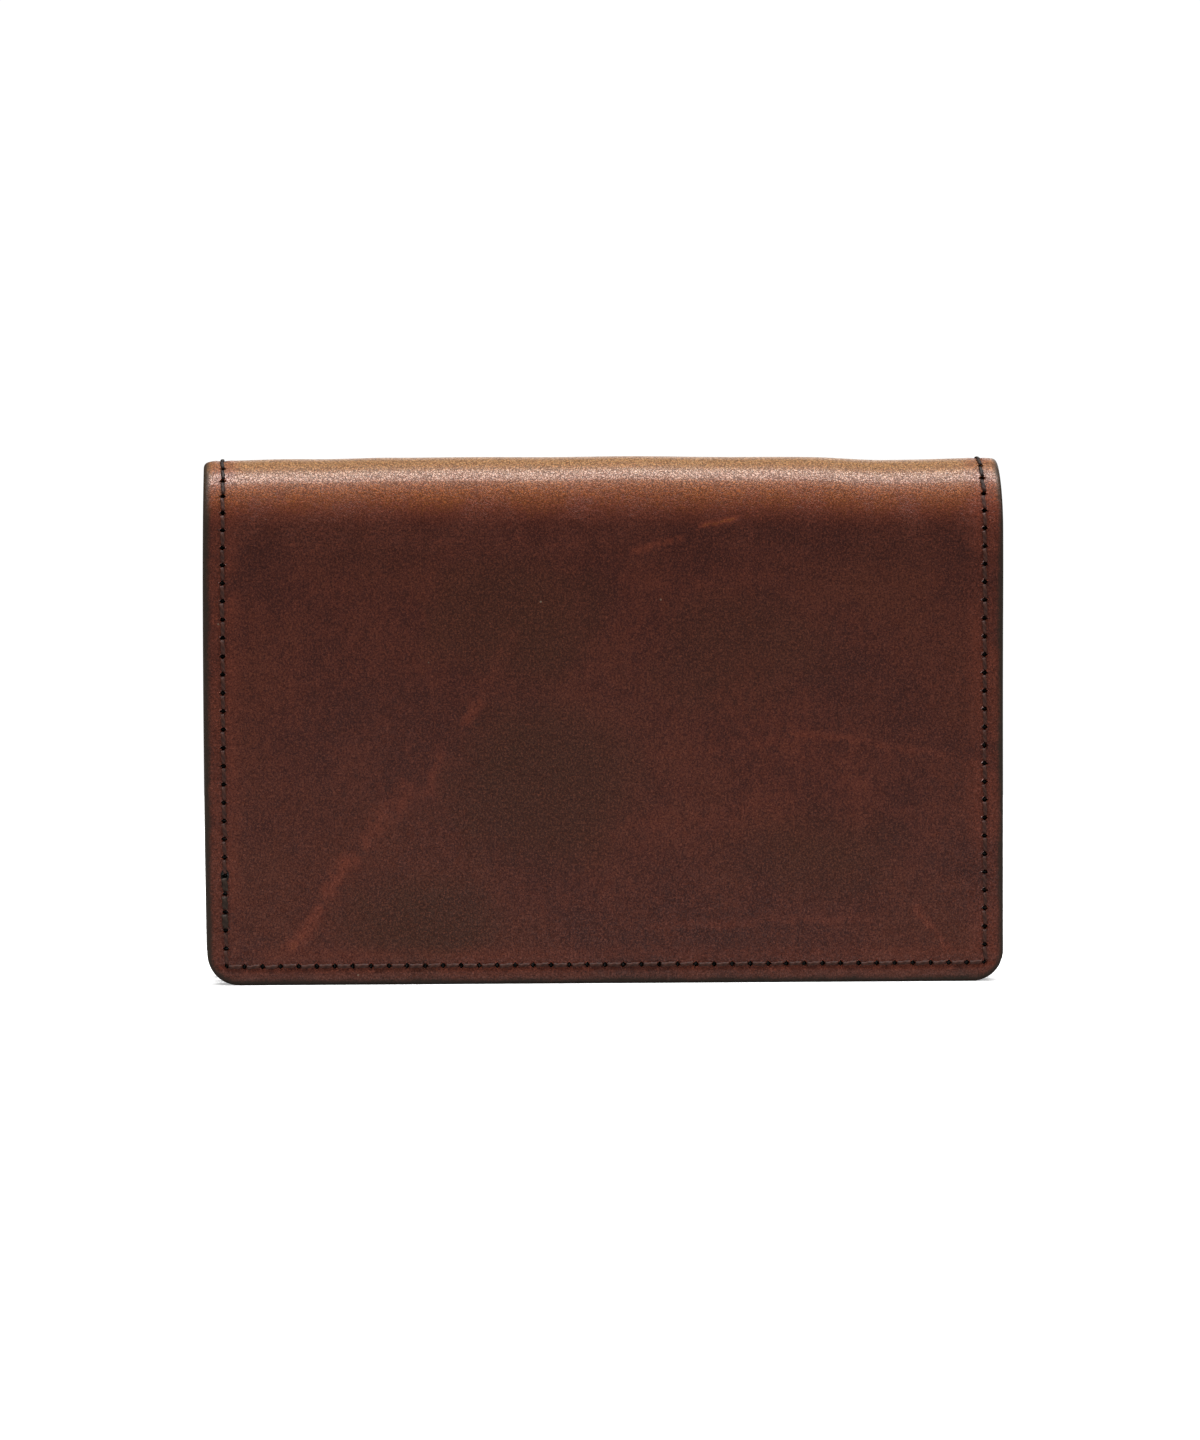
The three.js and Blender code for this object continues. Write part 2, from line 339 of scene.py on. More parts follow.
def round_feet(points, hide):
    """Draws in the corners at each foot, and leaves the seam where it is."""
    corner, inset = sizes().corner, sizes().inset
    still = (corner - inset) / corner
    out = points.copy()
    for foot in (0, 1):
        rise = points[:, 0] if foot == 0 else hide.length - points[:, 0]
        u = np.abs(points[:, 1]) - (WIDTH / 2 - corner)
        v = corner - rise
        inside = (u > 1e-9) & (v > 1e-9)
        u, v = u[inside], v[inside]
        q = np.maximum(u, v) / corner
        slope = np.maximum(u, v) / np.hypot(u, v)
        share = np.clip((q - still) / (1 - still), 0, 1)
        pull = np.where(q > still, (still + (slope - still) * share) / q, 1)
        side = np.sign(points[inside, 1])
        out[inside, 1] = side * (WIDTH / 2 - corner + u * pull)
        new_rise = corner - v * pull
        out[inside, 0] = new_rise if foot == 0 else hide.length - new_rise
    return out


def outline_gap(points, hide):
    """How far inside the case's outline each bench point lies."""
    corner = sizes().corner
    rise = foot_gap(points[:, 0], hide)
    side = WIDTH / 2 - np.abs(points[:, 1])
    u, v = corner - side, corner - rise
    rounded = corner - np.hypot(np.maximum(u, 0), np.maximum(v, 0))
    return np.where((u > 0) & (v > 0), rounded, np.minimum(side, rise))


def seam_gap(points, hide):
    """How far each bench point lies from the seam line."""
    inset = sizes().inset
    rise = foot_gap(points[:, 0], hide)
    side = WIDTH / 2 - np.abs(points[:, 1])
    inside = (rise >= inset) & (side >= inset)
    near = np.minimum(np.abs(side - inset), np.abs(rise - inset))
    past = np.hypot(np.minimum(side - inset, 0), np.minimum(rise - inset, 0))
    return np.where(inside, near, np.where((side < inset) & (rise < inset), past, near))


def side_lines(start, stop, hide, cells, fine):
    """Ruled places along the hide from start to stop."""
    s = sizes()
    margin = np.array(MARGIN_LINES)
    kept = [start, stop]
    for end, into in ((start, 1), (stop, -1)):
        if any(abs(end - cut) < 1e-9 for cut in hide.cuts):
            kept.append(end + into * 0.08 * MM)
    holes = hide.side_holes()
    kept += [h for h in holes if start + HOLE_CLEAR < h < stop - HOLE_CLEAR]
    if start == 0:
        kept += list(margin)
        if fine:
            kept += [s.inset - SHOULDER, s.inset + SHOULDER]
    if stop == hide.length:
        kept += list(hide.length - margin)
        if fine:
            kept += [stop - s.inset + SHOULDER, stop - s.inset - SHOULDER]
    steps = np.arange(s.side_stitches * cells) / cells
    return ruled(kept, s.inset + hide.side_pitch * steps, 0.22 * MM)


def cross_lines(hide, cells, fine):
    """Ruled places across the case."""
    s = sizes()
    half = WIDTH / 2
    kept = list(hide.foot_holes())
    for side in (-1, 1):
        gaps = list(MARGIN_LINES)
        if fine:
            gaps += [s.inset - SHOULDER, s.inset + SHOULDER]
        kept += [side * (half - g) for g in gaps]
    steps = np.arange(s.foot_stitches * cells) / cells
    return ruled(kept, -half + s.inset + hide.foot_pitch * steps, 0.22 * MM)


def seam_holes(hide, lowest, highest):
    """The awl's marks on a sheet: down both sides and along any foot it reaches."""
    s = sizes()
    marks = []
    for hole in hide.side_holes():
        if lowest + HOLE_CLEAR < hole < highest - HOLE_CLEAR:
            marks += [(hole, side * (WIDTH / 2 - s.inset)) for side in (-1, 1)]
    for foot in (s.inset, hide.length - s.inset):
        if lowest < foot < highest:
            marks += [(foot, across) for across in hide.foot_holes()[1:-1]]
    return np.array(marks)


def nearest(places, marks):
    """The distance from each place to its nearest mark."""
    gap = np.full(len(places), 1e9)
    for mark in marks:
        gap = np.minimum(gap, np.hypot(*(places[:, :2] - mark).T))
    return gap


def punch(obj, marks, size, depth):
    """Opens each mark to a diamond, with a lip round it and a pit inside."""
    points = points_of(obj)
    near = np.zeros(len(points), bool)
    for mark in marks:
        gap = np.abs(points[:, 0] - mark[0]) + np.abs(points[:, 1] - mark[1])
        near[int(np.argmin(gap))] = True
    pick(obj, verts=near)
    bpy.ops.mesh.bevel(offset=size, offset_type="OFFSET", affect="VERTICES", segments=1)
    close()
    inside = nearest(face_centres(obj), marks) < 0.06 * MM
    pick(obj, faces=inside)
    bpy.ops.mesh.inset(thickness=size * 0.12, depth=size * 0.15, use_individual=True)
    bpy.ops.mesh.inset(thickness=size * 0.14, depth=-depth * 0.6, use_individual=True)
    bpy.ops.mesh.inset(thickness=size * 0.10, depth=-depth * 0.4, use_individual=True)
    close()


def press_seam(obj, hide, depth):
    """Sinks the leather along the seam and swells it a little on both sides."""
    points = points_of(obj)
    gap = seam_gap(points, hide) / MM
    sink = np.exp(-((gap / 0.42) ** 2)) * depth
    swell = np.exp(-(((gap - 1.15) / 0.55) ** 2)) * depth * 0.22
    points[:, 2] += swell - sink
    move_points(obj, points)


def thicken(obj, thickness, glued_margin=0.0, hide=None):
    """Gives a sheet its thickness downwards, with a flat underside. A glued margin
    reaches a little further down, to the layer below."""
    flat = points_of(obj)
    total = len(flat)
    apply_modifier(obj, "SOLIDIFY", thickness=thickness, offset=-1)
    points = points_of(obj)
    points[total:, :2] = flat[:, :2]
    points[total:, 2] = -thickness
    if glued_margin:
        gap = outline_gap(flat, hide) / MM
        points[total:, 2] -= glued_margin * (1 - ease((gap - 1.2) / 0.9))
    move_points(obj, points)


def round_rim(obj, hide, level, radius, segments, cuts=(), top=None):
    """Rounds the outline's edges that lie at one level, but not the ends that are cut."""
    points = points_of(obj)
    gap = outline_gap(points, hide)
    ends = edge_ends(obj)
    rim = gap < TOUCH
    if top is not None:
        rim |= np.abs(points[:, 0] - top(points[:, 1])) < TOUCH
    rim &= np.abs(points[:, 2] - level) < LEVEL_REACH
    sheer = np.abs(points[ends[:, 0], 2] - points[ends[:, 1], 2]) > LEVEL_REACH
    chosen = rim[ends].all(axis=1) & ~sheer
    for cut in cuts:
        chosen &= ~(np.abs(points[ends, 0] - cut) < TOUCH).all(axis=1)
    pick(obj, edges=chosen)
    bpy.ops.mesh.bevel(
        offset=radius,
        offset_type="OFFSET",
        segments=segments,
        profile=0.5,
    )
    close()


def mark_leather(obj, hide):
    """Keeps each point's bench place, and its distances to the edge and the seam."""
    points = points_of(obj)
    bench = np.c_[-points[:, 1], points[:, 0], points[:, 2]] / MM
    keep_fact(obj, "leather_place", bench)
    keep_fact(obj, "leather_edge", outline_gap(points, hide) / MM)
    keep_fact(obj, "leather_seam", seam_gap(points, hide) / MM)


# ---- Folding ---------------------------------------------------------------------------


FORMER = "fold_former"


def former(hide):
    """The curve that flat work is folded over."""
    if FORMER in bpy.data.objects:
        return bpy.data.objects[FORMER]
    base, bend = hide.base, hide.bend
    round_part = np.linspace(base, base + bend, 241)
    stops = np.r_[0, base / 2, round_part, hide.length - base / 2, hide.length]
    curve = bpy.data.curves.new(FORMER, "CURVE")
    curve.dimensions = "3D"
    spline = curve.splines.new("POLY")
    spline.points.add(len(stops) - 1)
    for point, along in zip(spline.points, stops):
        place, _ = hide.skin(float(along))
        point.co = (place.x, place.y, place.z, 1)
    obj = bpy.data.objects.new(FORMER, curve)
    bpy.context.scene.collection.objects.link(obj)
    return obj


def wave(across, lengths, phases, sizes_mm):
    """A sum of a few long sine waves, in metres."""
    total = 0
    for reach, phase, size in zip(lengths, phases, sizes_mm):
        total = total + size * MM * np.sin(2 * math.pi * across / (reach * MM) + phase)
    return total


def settle(obj):
    """The case isn't quite true: its sides bow, its fold waves and its covers undulate.
    Every layer moves by the same rule, so that the layers stay together."""
    points = points_of(obj)
    x, y, z = points.T
    low = np.clip((55 * MM - z) / (46 * MM), 0, None)
    high = np.clip((z - 55 * MM) / (20 * MM), 0, None)
    side_bow = np.where(x < 0, 0.0058, -0.0022)
    bowed = x * (1 - side_bow * low**2 - 0.0032 * high**2)
    lift = ease((z - 55 * MM) / (20 * MM))
    side = np.abs(x)
    droop = 0.36 * MM * ease((side - 30 * MM) / (11 * MM))
    droop = droop + np.where(x < 0, 0.24, -0.16) * MM * ease((side - 45 * MM) / (11 * MM))
    last = np.clip((side - 55.2 * MM) / (1.8 * MM), 0, 1)
    droop = droop + np.where(x < 0, 0.45, 0.15) * MM * last**2
    fold_wave = wave(x, (61, 23), (1.0, 0.3), (0.07, 0.04)) - 0.08 * MM
    waved = z + lift * (fold_wave - droop)
    face = np.tanh(y / (3 * MM)) * ease(z / (12 * MM)) * ease((HEIGHT - z) / (12 * MM))
    ripple = wave(x + 0.6 * z, (83, 37), (0.4, 2.1), (0.10, 0.05))
    ripple = ripple + wave(z - 0.3 * x, (47,), (0.9,), (0.06,))
    points = np.c_[bowed, y + face * ripple, waved]
    move_points(obj, points)


def fold(obj, hide):
    """Folds flat work over the former."""
    mark_leather(obj, hide)
    apply_modifier(obj, "CURVE", object=former(hide), deform_axis="POS_X")
    settle(obj)


def finish_folded(obj, hide, place, replaced):
    """Bakes a folded piece's place into its mesh and hides the frame's nodes it stands
    for. The bodies that would carry it are looked up but not used.
    """
    bodies = {
        "front": ("spine_fore", "front_half", hide.cuts[0], hide.base),
        "fold_fore": ("spine_top", "spine_fore", hide.cuts[1], hide.cuts[0]),
        "fold_rear": ("spine_rear", "spine_top", hide.cuts[2], hide.cuts[1]),
        "back": ("back_half", "spine_rear", hide.base + hide.bend, hide.cuts[2]),
    }
    first, second, start, stop = bodies[place]
    # Places a little inside the hinge lines, where the bend would end; nothing uses them.
    inwards = 0.55 * MM if stop > start else -0.55 * MM
    start_point, _ = hide.skin(start + inwards)
    stop_point, _ = hide.skin(stop - inwards)
    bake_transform(obj)
    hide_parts(*replaced)


FOLDED = ("front", "fold_fore", "fold_rear", "back")


def stretch_of(place, hide):
    """Where one of the four stretches starts and stops along the hide."""
    stops = [0, *hide.cuts, hide.length]
    index = FOLDED.index(place)
    return stops[index], stops[index + 1]


def replaced_nodes(place, kind):
    """The frame's nodes that a folded layer's piece stands for."""
    flat = {"leather": "cover", "interlining": "interlining", "lining": "lining"}[kind]
    return {
        "front": [f"front_{flat}"],
        "fold_fore": [f"spine_{kind}_fore", f"spine_{kind}_top"],
        "fold_rear": [f"spine_{kind}_rear"],
        "back": [f"back_{flat}"],
    }[place]


def lower(obj, depth):
    points = points_of(obj)
    points[:, 2] -= depth
    move_points(obj, points)


# ---- Materials -------------------------------------------------------------------------


class Wire:
    """A socket's value, which sums and products build on."""

    def __init__(self, board, socket):
        self.board, self.socket = board, socket

    def _math(self, operation, *values, **settings):
        return self.board.node(
            "ShaderNodeMath",
            {"operation": operation, **settings},
            dict(enumerate(values)),
        )

    def __add__(self, other):
        return self._math("ADD", self, other)

    __radd__ = __add__

    def __sub__(self, other):
        return self._math("SUBTRACT", self, other)

    def __rsub__(self, other):
        return self._math("SUBTRACT", other, self)

    def __mul__(self, other):
        return self._math("MULTIPLY", self, other)

    __rmul__ = __mul__

    def __truediv__(self, other):
        return self._math("DIVIDE", self, other)

    def __pow__(self, other):
        return self._math("POWER", self, other)

    def size(self):
        return self._math("ABSOLUTE", self)

    def clamp(self):
        return self._math("ADD", self, 0.0, use_clamp=True)

    def ramp(self, start, stop):
        """0 at start, 1 at stop, eased between."""
        return self.board.node(
            "ShaderNodeMapRange",
            {"interpolation_type": "SMOOTHSTEP"},
            {0: self, 1: start, 2: stop, 3: 0.0, 4: 1.0},
        )


class Board:
    """One material's node tree."""

    def __init__(self, name):
        material = bpy.data.materials.new(name)
        material.use_nodes = True
        self.material, self.tree = material, material.node_tree
        self.tree.nodes.clear()

    def node(self, kind, settings, inputs, output=0):
        made = self.tree.nodes.new(kind)
        for key, value in settings.items():
            setattr(made, key, value)
        for key, value in inputs.items():
            socket = made.inputs[key]
            if isinstance(value, Wire):
                self.tree.links.new(value.socket, socket)
            else:
                socket.default_value = value
        return Wire(self, made.outputs[output]) if len(made.outputs) else None

    def fact(self, name, output=2):
        settings = {"attribute_type": "GEOMETRY", "attribute_name": name}
        return self.node("ShaderNodeAttribute", settings, {}, output)

    def split(self, vector):
        first = self.node("ShaderNodeSeparateXYZ", {}, {0: vector})
        return [Wire(self, socket) for socket in first.socket.node.outputs]

    def stretch(self, vector, scale):
        return self.node(
            "ShaderNodeVectorMath",
            {"operation": "MULTIPLY"},
            {0: vector, 1: scale},
        )

    def noise(self, vector, scale, detail=2.0, roughness=0.5, distortion=0.0):
        return self.node(
            "ShaderNodeTexNoise",
            {},
            {
                "Vector": vector,
                "Scale": scale,
                "Detail": detail,
                "Roughness": roughness,
                "Distortion": distortion,
            },
        )

    def cells(self, vector, scale, feature="F1"):
        inputs = {"Vector": vector, "Scale": scale}
        return self.node("ShaderNodeTexVoronoi", {"feature": feature}, inputs)

    def mix(self, share, first, second):
        """The first colour, and the second one where the share is 1."""
        first, second = (
            v if isinstance(v, Wire) else (*v, 1.0) for v in (first, second)
        )
        settings = {"data_type": "RGBA", "clamp_factor": True}
        return self.node("ShaderNodeMix", settings, {0: share, 6: first, 7: second}, 2)

    def bump(self, height, distance, strength, under=None):
        inputs = {"Height": height, "Distance": distance, "Strength": strength}
        if under is not None:
            inputs["Normal"] = under
        return self.node("ShaderNodeBump", {}, inputs)

    def finish(self, **sockets):
        """The surface shader and the output."""
        names = {key.replace("_", " "): value for key, value in sockets.items()}
        shader = self.node("ShaderNodeBsdfPrincipled", {}, names)
        self.node("ShaderNodeOutputMaterial", {}, {0: shader})
        return self.material


def streak(across, along, start, stop, width):
    """A soft mark between two places on the hide, in millimetres."""
    reach = (stop[0] - start[0], stop[1] - start[1])
    square = reach[0] ** 2 + reach[1] ** 2
    share = ((across - start[0]) * reach[0] + (along - start[1]) * reach[1]) / square
    share = share.clamp()
    dx = across - start[0] - share * reach[0]
    dy = along - start[1] - share * reach[1]
    gap = (dx * dx + dy * dy) ** 0.5
    fade = (share * (1 - share) * 4).ramp(0.0, 0.55)
    return (1 - gap.ramp(0.0, width)) * fade


def patch(across, along, middle, reach):
    """A soft round patch, in millimetres."""
    dx = (across - middle[0]) / reach[0]
    dy = (along - middle[1]) / reach[1]
    return 1 - (dx * dx + dy * dy).ramp(0.05, 1.0)


def tint(base, *factors):
    return tuple(min(1.0, v * f) for v, f in zip(base, factors))


def leather(name, tones, finish, bend=None, marks=(), patches=(), pulled_hole=None):
    """Waxed leather: mottled colour, pebbled grain, marks, and dark burnished edges.
    The finish is its roughness, its wax, and its number of pebbles in a millimetre."""
    board = Board(name)
    dark, red, olive = tones
    gloss, wax, grain = finish
    c = colours()
    place = board.fact("leather_place", 1)
    edge = board.fact("leather_edge")
    seam = board.fact("leather_seam")
    across, along, height = board.split(place)

    broad = board.noise(board.stretch(place, (0.034, 0.04, 0.04)), 1.0, 2.0, 0.5, 0.3)
    cloud = board.noise(board.stretch(place, (0.13, 0.10, 0.12)), 1.0, 5.0, 0.6, 0.5)
    curd = board.noise(board.stretch(place, (0.95, 0.55, 0.75)), 1.0, 4.0, 0.62, 0.4)
    fleck = board.noise(board.stretch(place, (3.4, 2.5, 3.0)), 1.0, 3.0, 0.65)
    wobble = board.node(
        "ShaderNodeTexNoise", {}, {"Vector": place, "Scale": 1.7, "Detail": 1.0}, 1
    )
    bent = board.node("ShaderNodeVectorMath", {"operation": "ADD"}, {0: place, 1: wobble})
    creases = board.cells(bent, grain, "DISTANCE_TO_EDGE")
    pebble = creases.ramp(0.01, 0.25)
    pore = board.noise(place, grain * 2.2, 2.0, 0.6)

    # The dye lies unevenly: dark brown, with warmer and greener clouds.
    blend = cloud * 0.34 + broad * 0.30 + curd * 0.36
    tone = board.mix(blend.ramp(0.39, 0.61), dark, red)
    green = (broad * 0.65 + cloud * 0.35).ramp(0.46, 0.62) * 0.3
    for middle, reach, weight in patches:
        drift_x, drift_s = (cloud - 0.5) * 16, (broad - 0.5) * 14
        green = green + patch(across + drift_x, along + drift_s, middle, reach) * weight
    tone = board.mix(green.clamp() * (0.75 + curd * 0.5).clamp(), tone, olive)

    warm_red = tint(red, 1.55, 1.42, 1.3)
    line, pulled = None, 0.0
    if bend:
        # Bent leather pulls up to a lighter tan, in a band that frays below.
        gap = (along - bend).size()
        fray = (curd - 0.5) * 4.5 + (cloud - 0.5) * 4.5 + (fleck - 0.5) * 6.0
        reddish = 1 - (gap + fray * 1.2).ramp(8.6, 14.2)
        pulled = 1 - (gap + fray).ramp(6.9, 12.6)
        shaded = 1 - (gap + fray * 0.3 - 16.5).size().ramp(1.5, 5.5)
        tone = board.mix(shaded * 0.38, tone, tint(dark, 0.66, 0.72, 0.8))
        tone = board.mix(reddish * 0.46, tone, tint(c.pull_up, 0.66, 0.46, 0.68))
        tone = board.mix(pulled * 0.95, tone, tuple(c.pull_up))
        worn_top = 1 - (gap + fray * 0.5).ramp(2.6, 8.4)
        tone = board.mix(worn_top * 0.85, tone, tuple(c.crest))
        way = board.stretch(place, (0.55, 1.25, 0.6))
        crease = (board.noise(way, 0.95, 4.0, 0.6, 1.6) - 0.5).size()
        zone = (1 - (gap - 13.5).size().ramp(1.5, 8.0)) * cloud.ramp(0.42, 0.62)
        line = (1 - crease.ramp(0.0, 0.045)) * zone
        # The margin under the seam is painted paler: painted light, as if thrown up from
        # the floor onto the foot.
        painted_floor_light = 1 - along.ramp(0.8, 3.0)
        tone = board.mix(painted_floor_light * 0.42, tone, (0.20, 0.115, 0.092))
        tone = board.mix(line * 0.75, tone, warm_red)

    # Red shows along the seam, and where something has drawn across the wax.
    warm = (1 - seam.ramp(0.4, 3.4)) * cloud.ramp(0.25, 0.60) * 0.6
    sway_x = across + (cloud - 0.5) * 5 + (curd - 0.5) * 1.5
    sway_s = along + (broad - 0.5) * 6 + (curd - 0.5) * 1.5
    for start, stop, width, weight in marks:
        mark = streak(sway_x, sway_s, start, stop, width)
        warm = warm + mark * weight * 1.15 * curd.ramp(0.25, 0.60)
    tone = board.mix(warm.clamp(), tone, warm_red)
    tone = board.mix((warm - 1).clamp(), tone, tuple(c.pull_up))

    # Flecks in the grain, and darker pores between its pebbles.
    shade = fleck * 0.5 + pore * 0.5
    tone = board.mix((0.50 - shade).clamp() * 6.0, tone, tint(dark, 0.35, 0.35, 0.40))
    tone = board.mix((shade - 0.50).clamp() * 4.5, tone, tint(warm_red, 1.2, 1.35, 1.3))
    # The pores are darkened partly as dye held in them and partly as painted shade in the
    # grain's hollows, more where the hide is bent.
    pore_dye_and_shade = (1 - pebble) * (0.45 + pulled * 0.3)
    tone = board.mix(pore_dye_and_shade, tone, tint(dark, 0.35, 0.38, 0.42))
    pin = board.cells(place, 0.17)
    pale = (1 - pin.ramp(0.014, 0.034)) * cloud.ramp(0.5, 0.55)
    tone = board.mix(pale * 0.5, tone, (0.45, 0.34, 0.24))

    # Wax and dye darken the edge. The pits of the seam's holes are painted near black as
    # shade.
    worn = (edge + (cloud - 0.5) * 0.9 + (curd - 0.5) * 0.5).ramp(0.25, 1.15)
    tone = board.mix((1 - worn) * 0.93, tone, tuple(c.edge))
    painted_hole_shade = (height * -1).ramp(0.13, 0.30) * (1 - seam.ramp(0.44, 0.58))
    # The wide hole where the doubled stitches end gets a larger patch of painted shade.
    if pulled_hole:
        painted_hole_shade = painted_hole_shade + patch(across, along, pulled_hole, (0.75, 1.15)).ramp(0.15, 0.45)
    tone = board.mix(painted_hole_shade.clamp(), tone, tint(c.edge, 0.15, 0.17, 0.15))

    relief = pebble * 0.45 + pore * 0.35 + fleck * 0.3
    normal = board.bump(relief, 0.0001, 0.4)
    if line is not None:
        normal = board.bump(line * -1, 0.00006, 0.4, normal)
    rough = gloss + (fleck - 0.5) * 0.12 + (cloud - 0.5) * 0.12 + (1 - worn) * 0.05
    # A thin film of wax shines on the pebbles and not in the pits between them.
    film = pebble * (0.55 + fleck * 0.9).clamp() * worn * wax
    return board.finish(
        Base_Color=tone,
        Roughness=(rough + (1 - pebble) * 0.06).clamp(),
        Normal=normal,
        Specular_IOR_Level=0.14,
        Coat_Weight=film.clamp(),
        Coat_Roughness=gloss * 0.8,
    )


def cover_leather():
    c = colours()
    hide = Hide()
    marks = (
        ((-45.0, 4.5), (-40.5, 12.5), 1.8, 0.95),
        ((-40.5, 12.5), (-35.5, 19.5), 2.3, 0.8),
        ((-35.5, 19.5), (-27.0, 29.0), 2.8, 0.55),
        ((-25.5, 26.0), (-23.5, 34.5), 1.6, 0.5),
        ((-20.6, 36.0), (-17.4, 40.6), 1.3, 0.7),
        ((-17.0, 41.0), (-13.0, 52.0), 1.8, 0.2),
        ((3.0, 32.5), (26.0, 34.0), 1.2, 0.22),
        ((24.0, 35.0), (50.0, 32.0), 0.9, 0.4),
        ((4.0, 7.5), (40.0, 9.0), 1.2, 0.35),
        ((44.0, 12.0), (49.5, 5.0), 1.0, 0.6),
        ((3.0, 61.3), (11.0, 63.6), 1.0, 0.8),
        ((12.5, 65.2), (19.5, 66.4), 0.8, 1.5),
        ((-2.0, 21.0), (30.0, 26.0), 5.0, 0.2),
        ((14.0, 42.0), (42.0, 26.0), 10.0, 0.24),
    )
    patches = (
        ((-9.0, 28.0), (17.0, 16.0), 0.76),
        ((-26.0, 10.0), (15.0, 9.0), 0.6),
        ((-14.0, 52.0), (16.0, 12.0), 0.6),
        ((20.0, 46.0), (16.0, 12.0), 0.45),
        ((30.0, 18.0), (16.0, 8.0), 0.4),
    )
    tones = tuple(c.cover_dark), tuple(c.cover_red), tuple(c.cover_olive)
    bend = hide.length / 2 / MM
    # The hole where the doubled stitches end is stretched wide, and painted shade darkens
    # a patch round it.
    hole = (sizes().inset - WIDTH / 2) / MM, hide.side_holes()[TACK_LAST] / MM
    finish = 0.32, 0.66, 2.5
    return leather("waxed_hide", tones, finish, bend, marks, patches, hole)


def lining_leather():
    c = colours()
    marks = (
        ((-30.0, 20.0), (-5.0, 46.0), 2.2, 0.35),
        ((12.0, 100.0), (40.0, 118.0), 2.4, 0.35),
    )
    tones = (
        tuple(c.lining_dark),
        tuple(c.lining_light),
        tint(c.lining_dark, 0.85, 0.95, 0.9),
    )
    return leather("lining_hide", tones, (0.56, 0.2, 3.3), None, marks)


def pocket_leather():
    c = colours()
    marks = (
        ((-38.0, 12.0), (-20.0, 40.0), 2.0, 0.6),
        ((15.0, 20.0), (44.0, 34.0), 2.2, 0.5),
    )
    patches = (((10.0, 18.0), (22.0, 14.0), 0.5),)
    tones = (
        tint(c.cover_dark, 1.1, 1.1, 1.1),
        tint(c.cover_red, 1.1, 1.1, 1.1),
        tuple(c.cover_olive),
    )
    return leather("pocket_hide", tones, (0.5, 0.3, 2.9), None, marks, patches)


def thread_finish(name, dark, light):
    """Waxed thread: painted shade in the hollows of its twist, and painted highlight on
    the crests.
    """
    board = Board(name)
    place = board.fact("leather_place", 1)
    strand = board.fact("thread_crest")
    fuzz = board.noise(place, 6.0, 3.0, 0.7)
    drift = board.noise(place, 0.35, 2.0, 0.5)
    sunk = board.fact("thread_dive_shade")
    # Painted highlight on the twist's crests and painted shade in its hollows, with some
    # random tone.
    crest = (strand * 0.8 + fuzz * 0.35 + (drift - 0.5) * 0.5 - 0.12).clamp()
    tone = board.mix(crest, dark, light)
    along = board.split(place)[1]
    over_fold = 1 - (along - Hide().length / 2 / MM).size().ramp(6.0, 11.5)
    tone = board.mix(over_fold * 0.85, tone, tint(dark, 0.15, 0.3, 0.3))
    # Where the thread dives into its holes it is painted near black as shade.
    tone = board.mix(sunk.ramp(0.1, 0.7), tone, tint(dark, 0.04, 0.08, 0.08))
    bump = board.bump(fuzz + strand * 0.6, 0.00006, 0.6)
    return board.finish(
        Base_Color=tone,
        Roughness=(0.5 + fuzz * 0.25).clamp(),
        Normal=bump,
        Specular_IOR_Level=0.3,
    )


def seam_thread():
    c = colours()
    return thread_finish("waxed_thread", tuple(c.thread_hollow_shade), tuple(c.thread_crest_highlight))


def tack_thread():
    c = colours()
    return thread_finish(
        "tacked_thread",
        tint(c.thread_hollow_shade, 0.7, 0.9, 0.8),
        tint(c.thread_crest_highlight, 0.45, 0.75, 0.75),
    )


def board_finish():
    """Bonded leather board, with short fibres."""
    board = Board("bonded_board")
    c = colours()
    place = board.fact("leather_place", 1)
    fibre = board.noise(board.stretch(place, (0.9, 3.2, 2.0)), 1.4, 4.0, 0.7, 0.8)
    cloud = board.noise(place, 0.3, 2.0, 0.5)
    edge = board.fact("leather_edge")
    tone = board.mix(fibre.ramp(0.3, 0.7), tint(c.board, 0.6, 0.6, 0.6), tuple(c.board))
    tone = board.mix((1 - edge.ramp(0.9, 1.6)) * (0.7 + cloud * 0.3), tone, tuple(c.edge))
    bump = board.bump(fibre, 0.0001, 0.4)
    return board.finish(Base_Color=tone, Roughness=0.78 + fibre * 0.1, Normal=bump)


def finish_of(kind):
    """Each material is made once and kept by its name."""
    makers = {
        "waxed_hide": cover_leather,
        "lining_hide": lining_leather,
        "pocket_hide": pocket_leather,
        "waxed_thread": seam_thread,
        "tacked_thread": tack_thread,
        "bonded_board": board_finish,
    }
    return bpy.data.materials.get(kind) or makers[kind]()


def lined_level():
    """The lining's face, below the outer skin."""
    s = sizes()
    return -(s.cover + s.board + s.lining + 2 * GLUE)


def dress(obj, kind):
    obj.data.materials.clear()
    obj.data.materials.append(finish_of(kind))


# ---- Folded layers ---------------------------------------------------------------------


def cover_piece(place, hide):
    """One stretch of the outer hide, sewn, folded and burnished."""
    s = sizes()
    start, stop = stretch_of(place, hide)
    obj = ruled_sheet(
        f"cover_{place}",
        side_lines(start, stop, hide, 4, True),
        cross_lines(hide, 4, True),
    )
    marks = seam_holes(hide, start, stop)
    if place == "front":
        # The hole where the doubled stitches end is stretched wide.
        ends = hide.side_holes()[TACK_LAST], WIDTH / 2 - s.inset
        wide = np.hypot(*(marks - ends).T) < 0.1 * MM
        punch(obj, marks[wide], s.hole * 1.3, 0.6 * MM)
        marks = marks[~wide]
    punch(obj, marks, s.hole, 0.6 * MM)
    press_seam(obj, hide, s.groove)
    move_points(obj, round_feet(points_of(obj), hide))
    thicken(obj, s.cover)
    round_rim(obj, hide, 0, s.rim, 4, cuts=hide.cuts)
    smooth(obj, 42)
    fold(obj, hide)
    finish_folded(obj, hide, place, replaced_nodes(place, "leather"))
    dress(obj, "waxed_hide")
    return obj


